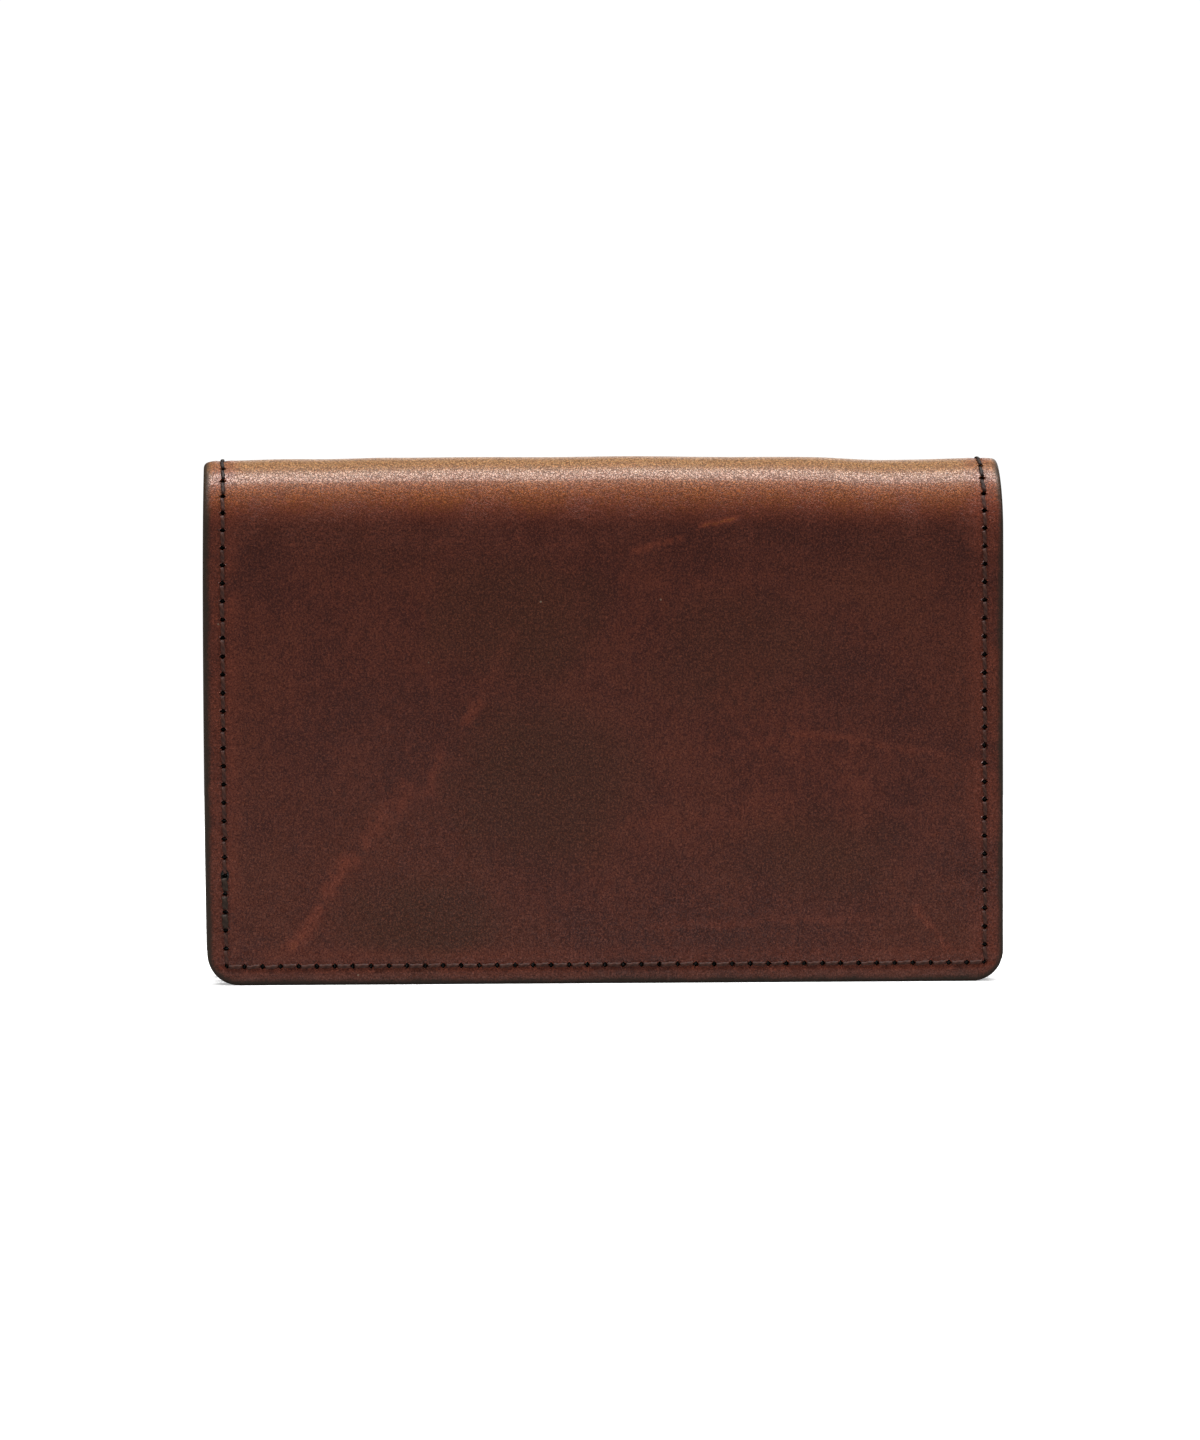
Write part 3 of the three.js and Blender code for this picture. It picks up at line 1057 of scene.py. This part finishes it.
def interlining_piece(place, hide):
    """The board between hide and lining, which stops short of the edges."""
    s = sizes()
    start, stop = stretch_of(place, hide)
    short = 0.9 * MM
    along = np.linspace(max(start, short), min(stop, hide.length - short), 61)
    across = np.linspace(-WIDTH / 2 + short, WIDTH / 2 - short, 41)
    obj = ruled_sheet(f"interlining_{place}", along, across)
    move_points(obj, round_feet(points_of(obj), hide))
    thicken(obj, s.board)
    lower(obj, s.cover + GLUE)
    smooth(obj, 40)
    fold(obj, hide)
    nodes = replaced_nodes(place, "interlining")
    finish_folded(obj, hide, place, nodes)
    dress(obj, "bonded_board")
    return obj


def lining_piece(place, hide):
    """The lining, built face up and then turned to look inwards."""
    s = sizes()
    start, stop = stretch_of(place, hide)
    obj = ruled_sheet(
        f"lining_{place}",
        side_lines(start, stop, hide, 2, False),
        cross_lines(hide, 2, False),
    )
    marks = seam_holes(hide, start, stop)
    punch(obj, marks, s.hole, 0.4 * MM)
    press_seam(obj, hide, 0.08 * MM)
    move_points(obj, round_feet(points_of(obj), hide))
    thicken(obj, s.lining, glued_margin=s.board, hide=hide)
    round_rim(obj, hide, 0, 0.25 * MM, 2, cuts=hide.cuts)
    turn_over(obj, lined_level())
    smooth(obj, 42)
    fold(obj, hide)
    finish_folded(obj, hide, place, replaced_nodes(place, "lining"))
    dress(obj, "lining_hide")
    return obj


def turn_over(obj, level):
    """Turns flat work face down, with its face at a level. It is alike left and right,
    so it turns about its middle line."""
    points = points_of(obj)
    points[:, 1] *= -1
    points[:, 2] = level - points[:, 2]
    move_points(obj, points)


# ---- Pockets ---------------------------------------------------------------------------


def scoop_drop(across, scooped):
    """How far a pocket's top edge dips at each place across."""
    if not scooped:
        return np.zeros_like(across)
    half, depth = sizes().scoop_width / 2, sizes().scoop_depth
    radius = (half**2 + depth**2) / (2 * depth)
    near = np.clip(np.abs(across), 0, half)
    arc = np.sqrt(radius**2 - near**2) - (radius - depth)
    shoulder = 1.1 * MM
    past = np.clip(np.abs(across) - (half - shoulder), 0, 2 * shoulder)
    soft = np.where(
        np.abs(across) > half - shoulder,
        (1 - past / (2 * shoulder)) ** 2 * depth * 0.32,
        0,
    )
    return np.where(np.abs(across) > half - shoulder, soft, np.maximum(arc, soft))


def pocket_panel(name, hide, height, thickness, scooped, glued):
    """A flat panel, sewn round three sides, with a creased and burnished top edge."""
    s = sizes()
    lip = np.array([0, 0.45, 1.0, 1.45, 1.75, 2.05, 2.7]) * MM
    kept = [0, 0.95 * MM, 1.7 * MM, *(height - lip)]
    holes = [h for h in hide.side_holes() if h < height - 3.2 * MM]
    steps = np.arange(s.side_stitches * 2) / 2
    along = ruled(kept + holes, s.inset + hide.side_pitch * steps, 0.3 * MM)
    obj = ruled_sheet(name, along, cross_lines(hide, 4, False))
    marks = [
        (hole, side * (WIDTH / 2 - s.inset)) for hole in holes for side in (-1, 1)
    ] + [(s.inset, across) for across in hide.foot_holes()[1:-1]]
    marks = np.array(marks)
    punch(obj, marks, s.hole, min(0.4 * MM, thickness * 0.5))
    points = points_of(obj)
    below_top = height - points[:, 0]
    gap = np.minimum(
        np.abs(WIDTH / 2 - np.abs(points[:, 1]) - s.inset) + 1e3 * (below_top < 0),
        np.abs(points[:, 0] - s.inset),
    )
    points[:, 2] -= 0.09 * MM * np.exp(-((gap / (0.42 * MM)) ** 2))
    points[:, 2] -= 0.13 * MM * np.exp(-(((below_top - 1.75 * MM) / (0.2 * MM)) ** 2))
    reach = 16 * MM
    share = ease(1 - below_top / reach)
    points[:, 0] -= scoop_drop(points[:, 1], scooped) * share
    points = round_feet(points, hide)
    move_points(obj, points)
    thicken(obj, thickness)
    if glued:
        points = points_of(obj)
        low = np.abs(points[:, 2] + thickness) < 1e-7
        gap = outline_gap(points, hide) / MM
        points[low, 2] -= glued * (1 - ease((gap[low] - 2.2) / 1.6))
        move_points(obj, points)

    def top(across):
        return height - scoop_drop(across, scooped)

    round_rim(obj, hide, 0, 0.26 * MM, 3, top=top)
    round_rim(obj, hide, -thickness, 0.22 * MM, 2, top=top)
    return obj


# ---- Stitches --------------------------------------------------------------------------


# Places along one stitch where its twist is cut, as shares of its length.
STATIONS = (0.035, 0.08, 0.125, 0.24, 0.37, 0.5, 0.63, 0.76, 0.875, 0.92, 0.965)
# How far a stitch dives into its holes, and how much it leans across the seam.
DIVE = 0.62 * MM
SLANT = math.radians(4)
# From one pocket's back to the face of the layer under it.
POCKET_STEP = 0.3 * MM


def one_stitch(pitch, thickness, reach):
    """One stitch from hole to hole: a two-ply twist that dives in at both ends."""
    put_down()
    bpy.ops.mesh.primitive_cylinder_add(
        vertices=7,
        radius=thickness / 2,
        depth=pitch,
        end_fill_type="NGON",
        rotation=(0, math.pi / 2, 0),
    )
    obj = bpy.context.object
    obj.name = "one_stitch"
    bpy.ops.object.transform_apply(location=False, rotation=True, scale=True)
    for share in STATIONS:
        pick_all(obj)
        bpy.ops.mesh.bisect(plane_co=(pitch * (share - 0.5), 0, 0), plane_no=(1, 0, 0))
        close()
    points = points_of(obj)
    share = points[:, 0] / pitch + 0.5
    end = np.minimum(share, 1 - share)
    angle = np.arctan2(points[:, 2], points[:, 1])
    crest = np.cos(2 * (angle + share * math.pi * 2.3))
    girth = (1 + 0.15 * crest) * (0.72 + 0.28 * ease(end / 0.12))
    above = ease((end - 0.02) / 0.12)
    points[:, 1] = thickness / 2 * girth * np.cos(angle)
    points[:, 2] = thickness / 2 * girth * np.sin(angle) * 0.85 - DIVE * (1 - above)
    points[:, 2] += 0.05 * MM * np.sin(math.pi * share)
    points[:, 0] = (share - 0.5) * pitch * reach
    move_points(obj, points)
    keep_fact(obj, "thread_crest", 0.5 + 0.5 * crest)
    # How far each point dives into its hole, which the thread's finish paints as shade.
    keep_fact(obj, "thread_dive_shade", 1 - above)
    return obj


def stitch_row(
    start, heading, number, pitch, level, inwards, rng, girth=1.0, reach=0.9
):
    """A row of stitches: one made, turned, laid and repeated at the pitch."""
    obj = one_stitch(pitch, sizes().thread * girth, reach)
    dress(obj, "waxed_thread")
    points = points_of(obj)
    x, y, z = points.T
    x, y = (
        x * math.cos(SLANT) - y * math.sin(SLANT),
        x * math.sin(SLANT) + y * math.cos(SLANT),
    )
    z = z - 0.02 * MM
    if inwards:
        y, z = -y, -z
    if heading == "across":
        x, y = -y, x
    step = (pitch, 0, 0) if heading == "along" else (0, pitch, 0)
    middle = np.array(start) + np.array(step[:2]) / 2
    move_points(obj, np.c_[x + middle[0], y + middle[1], z + level])
    per = len(points)
    if number > 1:
        apply_modifier(
            obj,
            "ARRAY",
            count=number,
            use_relative_offset=False,
            use_constant_offset=True,
            constant_offset_displace=step,
        )
    points = points_of(obj).reshape(number, per, 3)
    centre = points.mean(axis=1, keepdims=True)
    spin = rng.normal(0, math.radians(2.2), number)[:, None]
    grow = (1 + rng.normal(0, 0.04, number))[:, None, None]
    shift = rng.normal(0, 0.028 * MM, (number, 1, 3))
    local = (points - centre) * grow
    cos, sin = np.cos(spin), np.sin(spin)
    turned = np.stack(
        [
            local[:, :, 0] * cos - local[:, :, 1] * sin,
            local[:, :, 0] * sin + local[:, :, 1] * cos,
            local[:, :, 2],
        ],
        axis=2,
    )
    move_points(obj, (turned + centre + shift).reshape(-1, 3))
    return obj


def side_rows(hide, lowest, highest, level, inwards, rng):
    """The stitches of both sides whose middles lie between two places."""
    inset = sizes().inset
    middles = hide.side_holes()[:-1] + hide.side_pitch / 2
    chosen = np.nonzero((middles >= lowest) & (middles < highest))[0]
    if not len(chosen):
        return []
    first = hide.side_holes()[chosen[0]]
    places = [(first, side * (WIDTH / 2 - inset)) for side in (-1, 1)]
    number, pitch = len(chosen), hide.side_pitch
    return [
        stitch_row(place, "along", number, pitch, level, inwards, rng)
        for place in places
    ]


def foot_row(hide, foot, level, inwards, rng):
    place = (foot, -(WIDTH / 2 - sizes().inset))
    number = sizes().foot_stitches
    return stitch_row(place, "across", number, hide.foot_pitch, level, inwards, rng)


def join(rows, name):
    put_down()
    for row in rows:
        row.select_set(True)
    bpy.context.view_layer.objects.active = rows[0]
    if len(rows) > 1:
        bpy.ops.object.join()
    rows[0].name = rows[0].data.name = name
    return rows[0]


def stitch_piece(place, hide, rng):
    """The edge seam's stitches of one stretch, outside and inside."""
    s = sizes()
    start, stop = stretch_of(place, hide)
    sunk = -THREAD_SUNK
    lined = lined_level()
    rows = side_rows(hide, start, stop, sunk, False, rng)
    if place == "front":
        tall = lined - POCKET_STEP - s.pocket
        short = tall - POCKET_STEP - s.pocket
        base = hide.base
        rows.append(foot_row(hide, s.inset, sunk, False, rng))
        rows += side_rows(hide, start, base - 19 * MM, short - sunk, True, rng)
        rows.append(foot_row(hide, s.inset, short - sunk, True, rng))
        rows += side_rows(hide, base - 19 * MM, base - 8 * MM, tall - sunk, True, rng)
        rows += side_rows(hide, base - 8 * MM, stop, lined - sunk, True, rng)
        # The seam is closed by going over three stitches again.
        again = hide.side_holes()[TACK_FIRST], WIDTH / 2 - s.inset
        number = TACK_LAST - TACK_FIRST
        pitch, level = hide.side_pitch, -0.04 * MM
        tack = stitch_row(again, "along", number, pitch, level, False, rng, 1.5, 0.86)
        dress(tack, "tacked_thread")
        rows.append(tack)
    elif place == "back":
        flange = lined - GLUE - s.gusset
        tip = hide.length - (hide.base - 7 * MM)
        rows.append(foot_row(hide, hide.length - s.inset, sunk, False, rng))
        rows += side_rows(hide, start, tip, lined - sunk, True, rng)
        rows += side_rows(hide, tip, stop, flange - sunk, True, rng)
        rows.append(foot_row(hide, hide.length - s.inset, flange - sunk, True, rng))
    else:
        rows += side_rows(hide, start, stop, lined - sunk, True, rng)
    obj = join(rows, f"stitches_{place}")
    smooth(obj, 60)
    fold(obj, hide)
    both = ("left", "right")
    replaced = {
        "front": ["front_seam_thread"],
        "fold_fore": [f"spine_thread_{p}_{b}" for p in ("fore", "top") for b in both],
        "fold_rear": [f"spine_thread_rear_{b}" for b in both],
        "back": ["back_seam_thread"],
    }[place]
    finish_folded(obj, hide, place, replaced)
    return obj


# ---- Gusset ----------------------------------------------------------------------------


# The pleat's inner fold and its flanges' width, both from the case's edge.
PLEAT_CREST = 7.6 * MM
PLEAT_FLANGE = 4.1 * MM
# Rows along each leg of the strip.
LEG_ROWS = 40
# Inside the case there is no edge seam to redden the leather, in millimetres.
FAR_FROM_SEAM = 9.0


def gusset_profile(front, back):
    """The strip's middle line in section: distance in from the edge, and depth."""
    s = sizes()
    half = s.gusset / 2
    crest, flange = PLEAT_CREST, PLEAT_FLANGE
    middle = (front + back) / 2
    turn = 0.9 * MM
    path = [(0, back - half), (1.7 * MM, back - half), (s.inset, back - half)]
    path += [(flange - turn, back - half), (flange, back - half - 0.12 * MM)]
    for share in (0.15, 0.4, 0.65, 0.85, 0.95):
        depth = back - half - 0.12 * MM + (middle + 0.42 * MM - back + half) * share
        path.append((flange + (crest - flange) * share, depth))
    tip = (crest + 0.12 * MM, middle)
    mirror = [(inward, front + back - depth) for inward, depth in path]
    return np.array(path + [tip] + mirror[::-1])


def gusset_piece(hide):
    """One pleated strip, down one side, along the foot and up the other."""
    s = sizes()
    node_low, node_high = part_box("gusset")
    front, back, top = node_low.y, node_high.y, node_high.z
    profile = gusset_profile(front, back)
    number = 3 * LEG_ROWS + 1
    obj = ruled_sheet("gusset_pleat", np.arange(number), np.arange(len(profile)))
    points = points_of(obj)
    run, part = points[:, 0].round().astype(int), points[:, 1].round().astype(int)
    inward, depth = profile[part].T
    half = WIDTH / 2
    placed = np.zeros_like(points)
    share = (run % LEG_ROWS) / LEG_ROWS
    leg = np.minimum(run // LEG_ROWS, 2)
    share = np.where(run == number - 1, 1.0, share)
    left = leg == 0
    placed[left, 0] = -half + inward[left]
    placed[left, 2] = top + (inward[left] - top) * share[left]
    foot = leg == 1
    placed[foot, 0] = (-half + inward[foot]) * (1 - 2 * share[foot])
    placed[foot, 2] = inward[foot]
    right = leg == 2
    placed[right, 0] = half - inward[right]
    placed[right, 2] = inward[right] + (top - inward[right]) * share[right]
    placed[:, 1] = depth
    move_points(obj, placed)
    pick_all(obj)
    bpy.ops.mesh.normals_make_consistent(inside=False)
    close()
    apply_modifier(obj, "SOLIDIFY", thickness=s.gusset, offset=0, use_even_offset=True)
    points = points_of(obj)
    bench = np.c_[points[:, 2], points[:, 0], points[:, 1]]
    bench = round_feet(bench, hide)
    points = np.c_[bench[:, 1], bench[:, 2], bench[:, 0]]
    move_points(obj, points)
    apply_modifier(obj, "SUBSURF", levels=1, render_levels=1)
    points = points_of(obj)
    points[:, 0] = np.clip(points[:, 0], -half, half)
    points[:, 1] = np.clip(points[:, 1], front, back)
    points[:, 2] = np.clip(points[:, 2], 0, top)
    move_points(obj, points)
    bench = np.c_[points[:, 2], points[:, 0], points[:, 1]]
    edge = np.minimum(outline_gap(bench, hide), top - points[:, 2])
    keep_fact(obj, "leather_place", points / MM)
    keep_fact(obj, "leather_edge", edge / MM)
    keep_fact(obj, "leather_seam", np.full(len(points), FAR_FROM_SEAM))
    smooth(obj, 50)
    settle(obj)
    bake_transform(obj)
    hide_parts("gusset")
    dress(obj, "lining_hide")


# ---- Operators -------------------------------------------------------------------------


class CASE_OT_cover(bpy.types.Operator):
    """Cut, punch, burnish and fold the outer hide"""

    bl_idname = "case.cover"
    bl_label = "Outer hide"

    def execute(self, context):
        hide = Hide()
        for place in FOLDED:
            cover_piece(place, hide)
        return {"FINISHED"}


class CASE_OT_lining(bpy.types.Operator):
    """Cut and fold the interlining board and the lining leather"""

    bl_idname = "case.lining"
    bl_label = "Interlining and lining"

    def execute(self, context):
        hide = Hide()
        for place in FOLDED:
            interlining_piece(place, hide)
            lining_piece(place, hide)
        return {"FINISHED"}


class CASE_OT_pockets(bpy.types.Operator):
    """Make the front half's two slip pockets"""

    bl_idname = "case.pockets"
    bl_label = "Slip pockets"

    def execute(self, context):
        hide = Hide()
        s = sizes()
        for name, node, scooped in (
            ("slip_pocket_tall", "tall_slip_pocket", False),
            ("slip_pocket_short", "short_slip_pocket", True),
        ):
            _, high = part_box(node)
            obj = pocket_panel(name, hide, high.z, s.pocket, scooped, 0.28 * MM)
            turn_over(obj, -(high.y + HALF_DEPTH))
            smooth(obj, 42)
            fold(obj, hide)
            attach(obj, "front_half")
            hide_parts(node)
            dress(obj, "pocket_hide")
        return {"FINISHED"}


class CASE_OT_compartment(bpy.types.Operator):
    """Make the compartment's wall, its seam and its pleated gusset"""

    bl_idname = "case.compartment"
    bl_label = "Gusset compartment"

    def execute(self, context):
        hide = Hide()
        s = sizes()
        rng = np.random.default_rng(7)
        low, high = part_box("compartment_wall")
        wall = pocket_panel("compartment_panel", hide, high.z, s.wall, True, 0)
        lower(wall, low.y + HALF_DEPTH)
        smooth(wall, 42)
        fold(wall, hide)
        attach(wall, "compartment_front")
        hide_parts("compartment_wall")
        dress(wall, "pocket_hide")
        gusset_piece(hide)
        face = -(low.y + HALF_DEPTH)
        under = face - s.wall - GLUE - s.gusset
        top = high.z - 3.4 * MM
        rows = []
        for level, inwards in ((face - THREAD_SUNK, False), (under + THREAD_SUNK, True)):
            rows += side_rows(hide, 0, top, level, inwards, rng)
            rows.append(foot_row(hide, s.inset, level, inwards, rng))
        seam = join(rows, "compartment_stitches")
        smooth(seam, 60)
        fold(seam, hide)
        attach(seam, "compartment_front")
        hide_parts("compartment_wall_thread")
        return {"FINISHED"}


class CASE_OT_seam(bpy.types.Operator):
    """Sew the edge seam round the case"""

    bl_idname = "case.seam"
    bl_label = "Edge seam"

    def execute(self, context):
        hide = Hide()
        rng = np.random.default_rng(3)
        for place in FOLDED:
            stitch_piece(place, hide, rng)
        return {"FINISHED"}


FLOOR_RADIUS = 0.45
# The camera stands a little to the left and just above the case.
CAMERA_YAW = math.radians(-4.0)
CAMERA_DISTANCE = 0.9
CAMERA_HEIGHT = 0.080
CAMERA_AIM = Vector((-0.0002, 0.0, 0.0372))
CAMERA_LENS = 157

# Each light: name, place, aim, size and power.
LIGHTS = (
    ("softbox_top", (0.0, -0.065, 0.80), (0, 0, 0.05), (1.1, 0.32), 14.1),
    ("softbox_left", (-0.80, -0.45, 0.62), (0, 0, 0.03), (0.5, 0.4), 1.1),
    ("softbox_right", (0.85, -0.45, 0.60), (0, 0, 0.03), (0.5, 0.4), 0.9),
    ("softbox_behind", (0.3, 0.95, 0.45), (0, 0, 0.04), (0.8, 0.5), 1.5),
)


class CASE_OT_stage(bpy.types.Operator):
    """Lay the floor and set the lights and the camera"""

    bl_idname = "case.stage"
    bl_label = "Stage"

    def execute(self, context):
        scene = context.scene
        put_down()
        bpy.ops.mesh.primitive_circle_add(
            vertices=96,
            radius=FLOOR_RADIUS,
            fill_type="NGON",
        )
        floor = context.object
        floor.name = "floor"
        board = Board("pale_floor")
        tooth = board.noise(board.node("ShaderNodeTexCoord", {}, {}, 3), 40.0, 3.0)
        tone = board.mix(tooth * 0.3, (0.95, 0.95, 0.95), (0.92, 0.92, 0.92))
        seen = board.node(
            "ShaderNodeBsdfPrincipled",
            {},
            {
                "Base Color": tone,
                "Roughness": 1.0,
                "Specular IOR Level": 0.0,
                "Emission Color": (1, 1, 1, 1),
                "Emission Strength": 0.42,
            },
        )
        # The floor throws less light back than it shows to the camera.
        grey = {"Color": (0.38, 0.38, 0.38, 1)}
        bounce = board.node("ShaderNodeBsdfDiffuse", {}, grey)
        straight = board.node("ShaderNodeLightPath", {}, {}, 0)
        shaders = {0: straight, 1: bounce, 2: seen}
        mixed = board.node("ShaderNodeMixShader", {}, shaders)
        board.node("ShaderNodeOutputMaterial", {}, {0: mixed})
        floor.data.materials.append(board.material)

        for name, place, aim, size, power in LIGHTS:
            light = bpy.data.lights.new(name, "AREA")
            light.shape = "RECTANGLE"
            light.size, light.size_y = size
            light.energy = power
            lamp = bpy.data.objects.new(name, light)
            scene.collection.objects.link(lamp)
            lamp.location = place
            way = Vector(aim) - Vector(place)
            lamp.rotation_euler = way.to_track_quat("-Z", "Y").to_euler()

        world = bpy.data.worlds.new("studio")
        scene.world = world
        world.use_nodes = True
        tree = world.node_tree
        tree.nodes.clear()
        rays = tree.nodes.new("ShaderNodeLightPath")
        seen, lit = (tree.nodes.new("ShaderNodeBackground") for _ in range(2))
        seen.inputs[0].default_value = (1, 1, 1, 1)
        seen.inputs[1].default_value = 1.05
        lit.inputs[0].default_value = (1, 1, 1, 1)
        lit.inputs[1].default_value = 0.03
        mix = tree.nodes.new("ShaderNodeMixShader")
        out = tree.nodes.new("ShaderNodeOutputWorld")
        tree.links.new(rays.outputs["Is Camera Ray"], mix.inputs[0])
        tree.links.new(lit.outputs[0], mix.inputs[1])
        tree.links.new(seen.outputs[0], mix.inputs[2])
        tree.links.new(mix.outputs[0], out.inputs[0])

        scene.view_settings.view_transform = "Standard"
        scene.view_settings.look = "None"

        camera = bpy.data.cameras.new("camera")
        rig = bpy.data.objects.new("camera", camera)
        scene.collection.objects.link(rig)
        scene.camera = rig
        back_off = Vector((math.sin(CAMERA_YAW), -math.cos(CAMERA_YAW), 0))
        eye = back_off * CAMERA_DISTANCE + Vector((0, 0, CAMERA_HEIGHT))
        rig.location = eye
        rig.rotation_mode = "QUATERNION"
        rig.rotation_quaternion = (CAMERA_AIM - eye).to_track_quat("-Z", "Y")
        camera.sensor_fit = "AUTO"
        camera.sensor_width = 36
        camera.lens = CAMERA_LENS
        camera.clip_start = 0.01
        camera.clip_end = 50
        return {"FINISHED"}


class CASE_PT_panel(bpy.types.Panel):
    """Sizes, colours and the steps of making"""

    bl_label = "Card case"
    bl_idname = "CASE_PT_panel"
    bl_space_type = "VIEW_3D"
    bl_region_type = "UI"
    bl_category = "Card case"

    def draw(self, context):
        layout = self.layout
        for group in (context.scene.card_case_sizes, context.scene.card_case_colours):
            box = layout.box()
            for name in group.__annotations__:
                box.prop(group, name)
        for operator in STEPS:
            layout.operator(operator.bl_idname)


STEPS = (
    CASE_OT_cover,
    CASE_OT_lining,
    CASE_OT_pockets,
    CASE_OT_compartment,
    CASE_OT_seam,
    CASE_OT_stage,
)
CLASSES = (CaseSizes, CaseColours, *STEPS, CASE_PT_panel)


def register():
    for cls in CLASSES:
        bpy.utils.register_class(cls)
    bpy.types.Scene.card_case_sizes = PointerProperty(type=CaseSizes)
    bpy.types.Scene.card_case_colours = PointerProperty(type=CaseColours)


def unregister():
    del bpy.types.Scene.card_case_colours
    del bpy.types.Scene.card_case_sizes
    for cls in reversed(CLASSES):
        bpy.utils.unregister_class(cls)


def main():
    register()
    bpy.ops.case.cover()
    bpy.ops.case.lining()
    bpy.ops.case.pockets()
    bpy.ops.case.compartment()
    bpy.ops.case.seam()
    bpy.data.objects.remove(bpy.data.objects[FORMER])
    bpy.ops.case.stage()


if __name__ == "__main__":
    main()
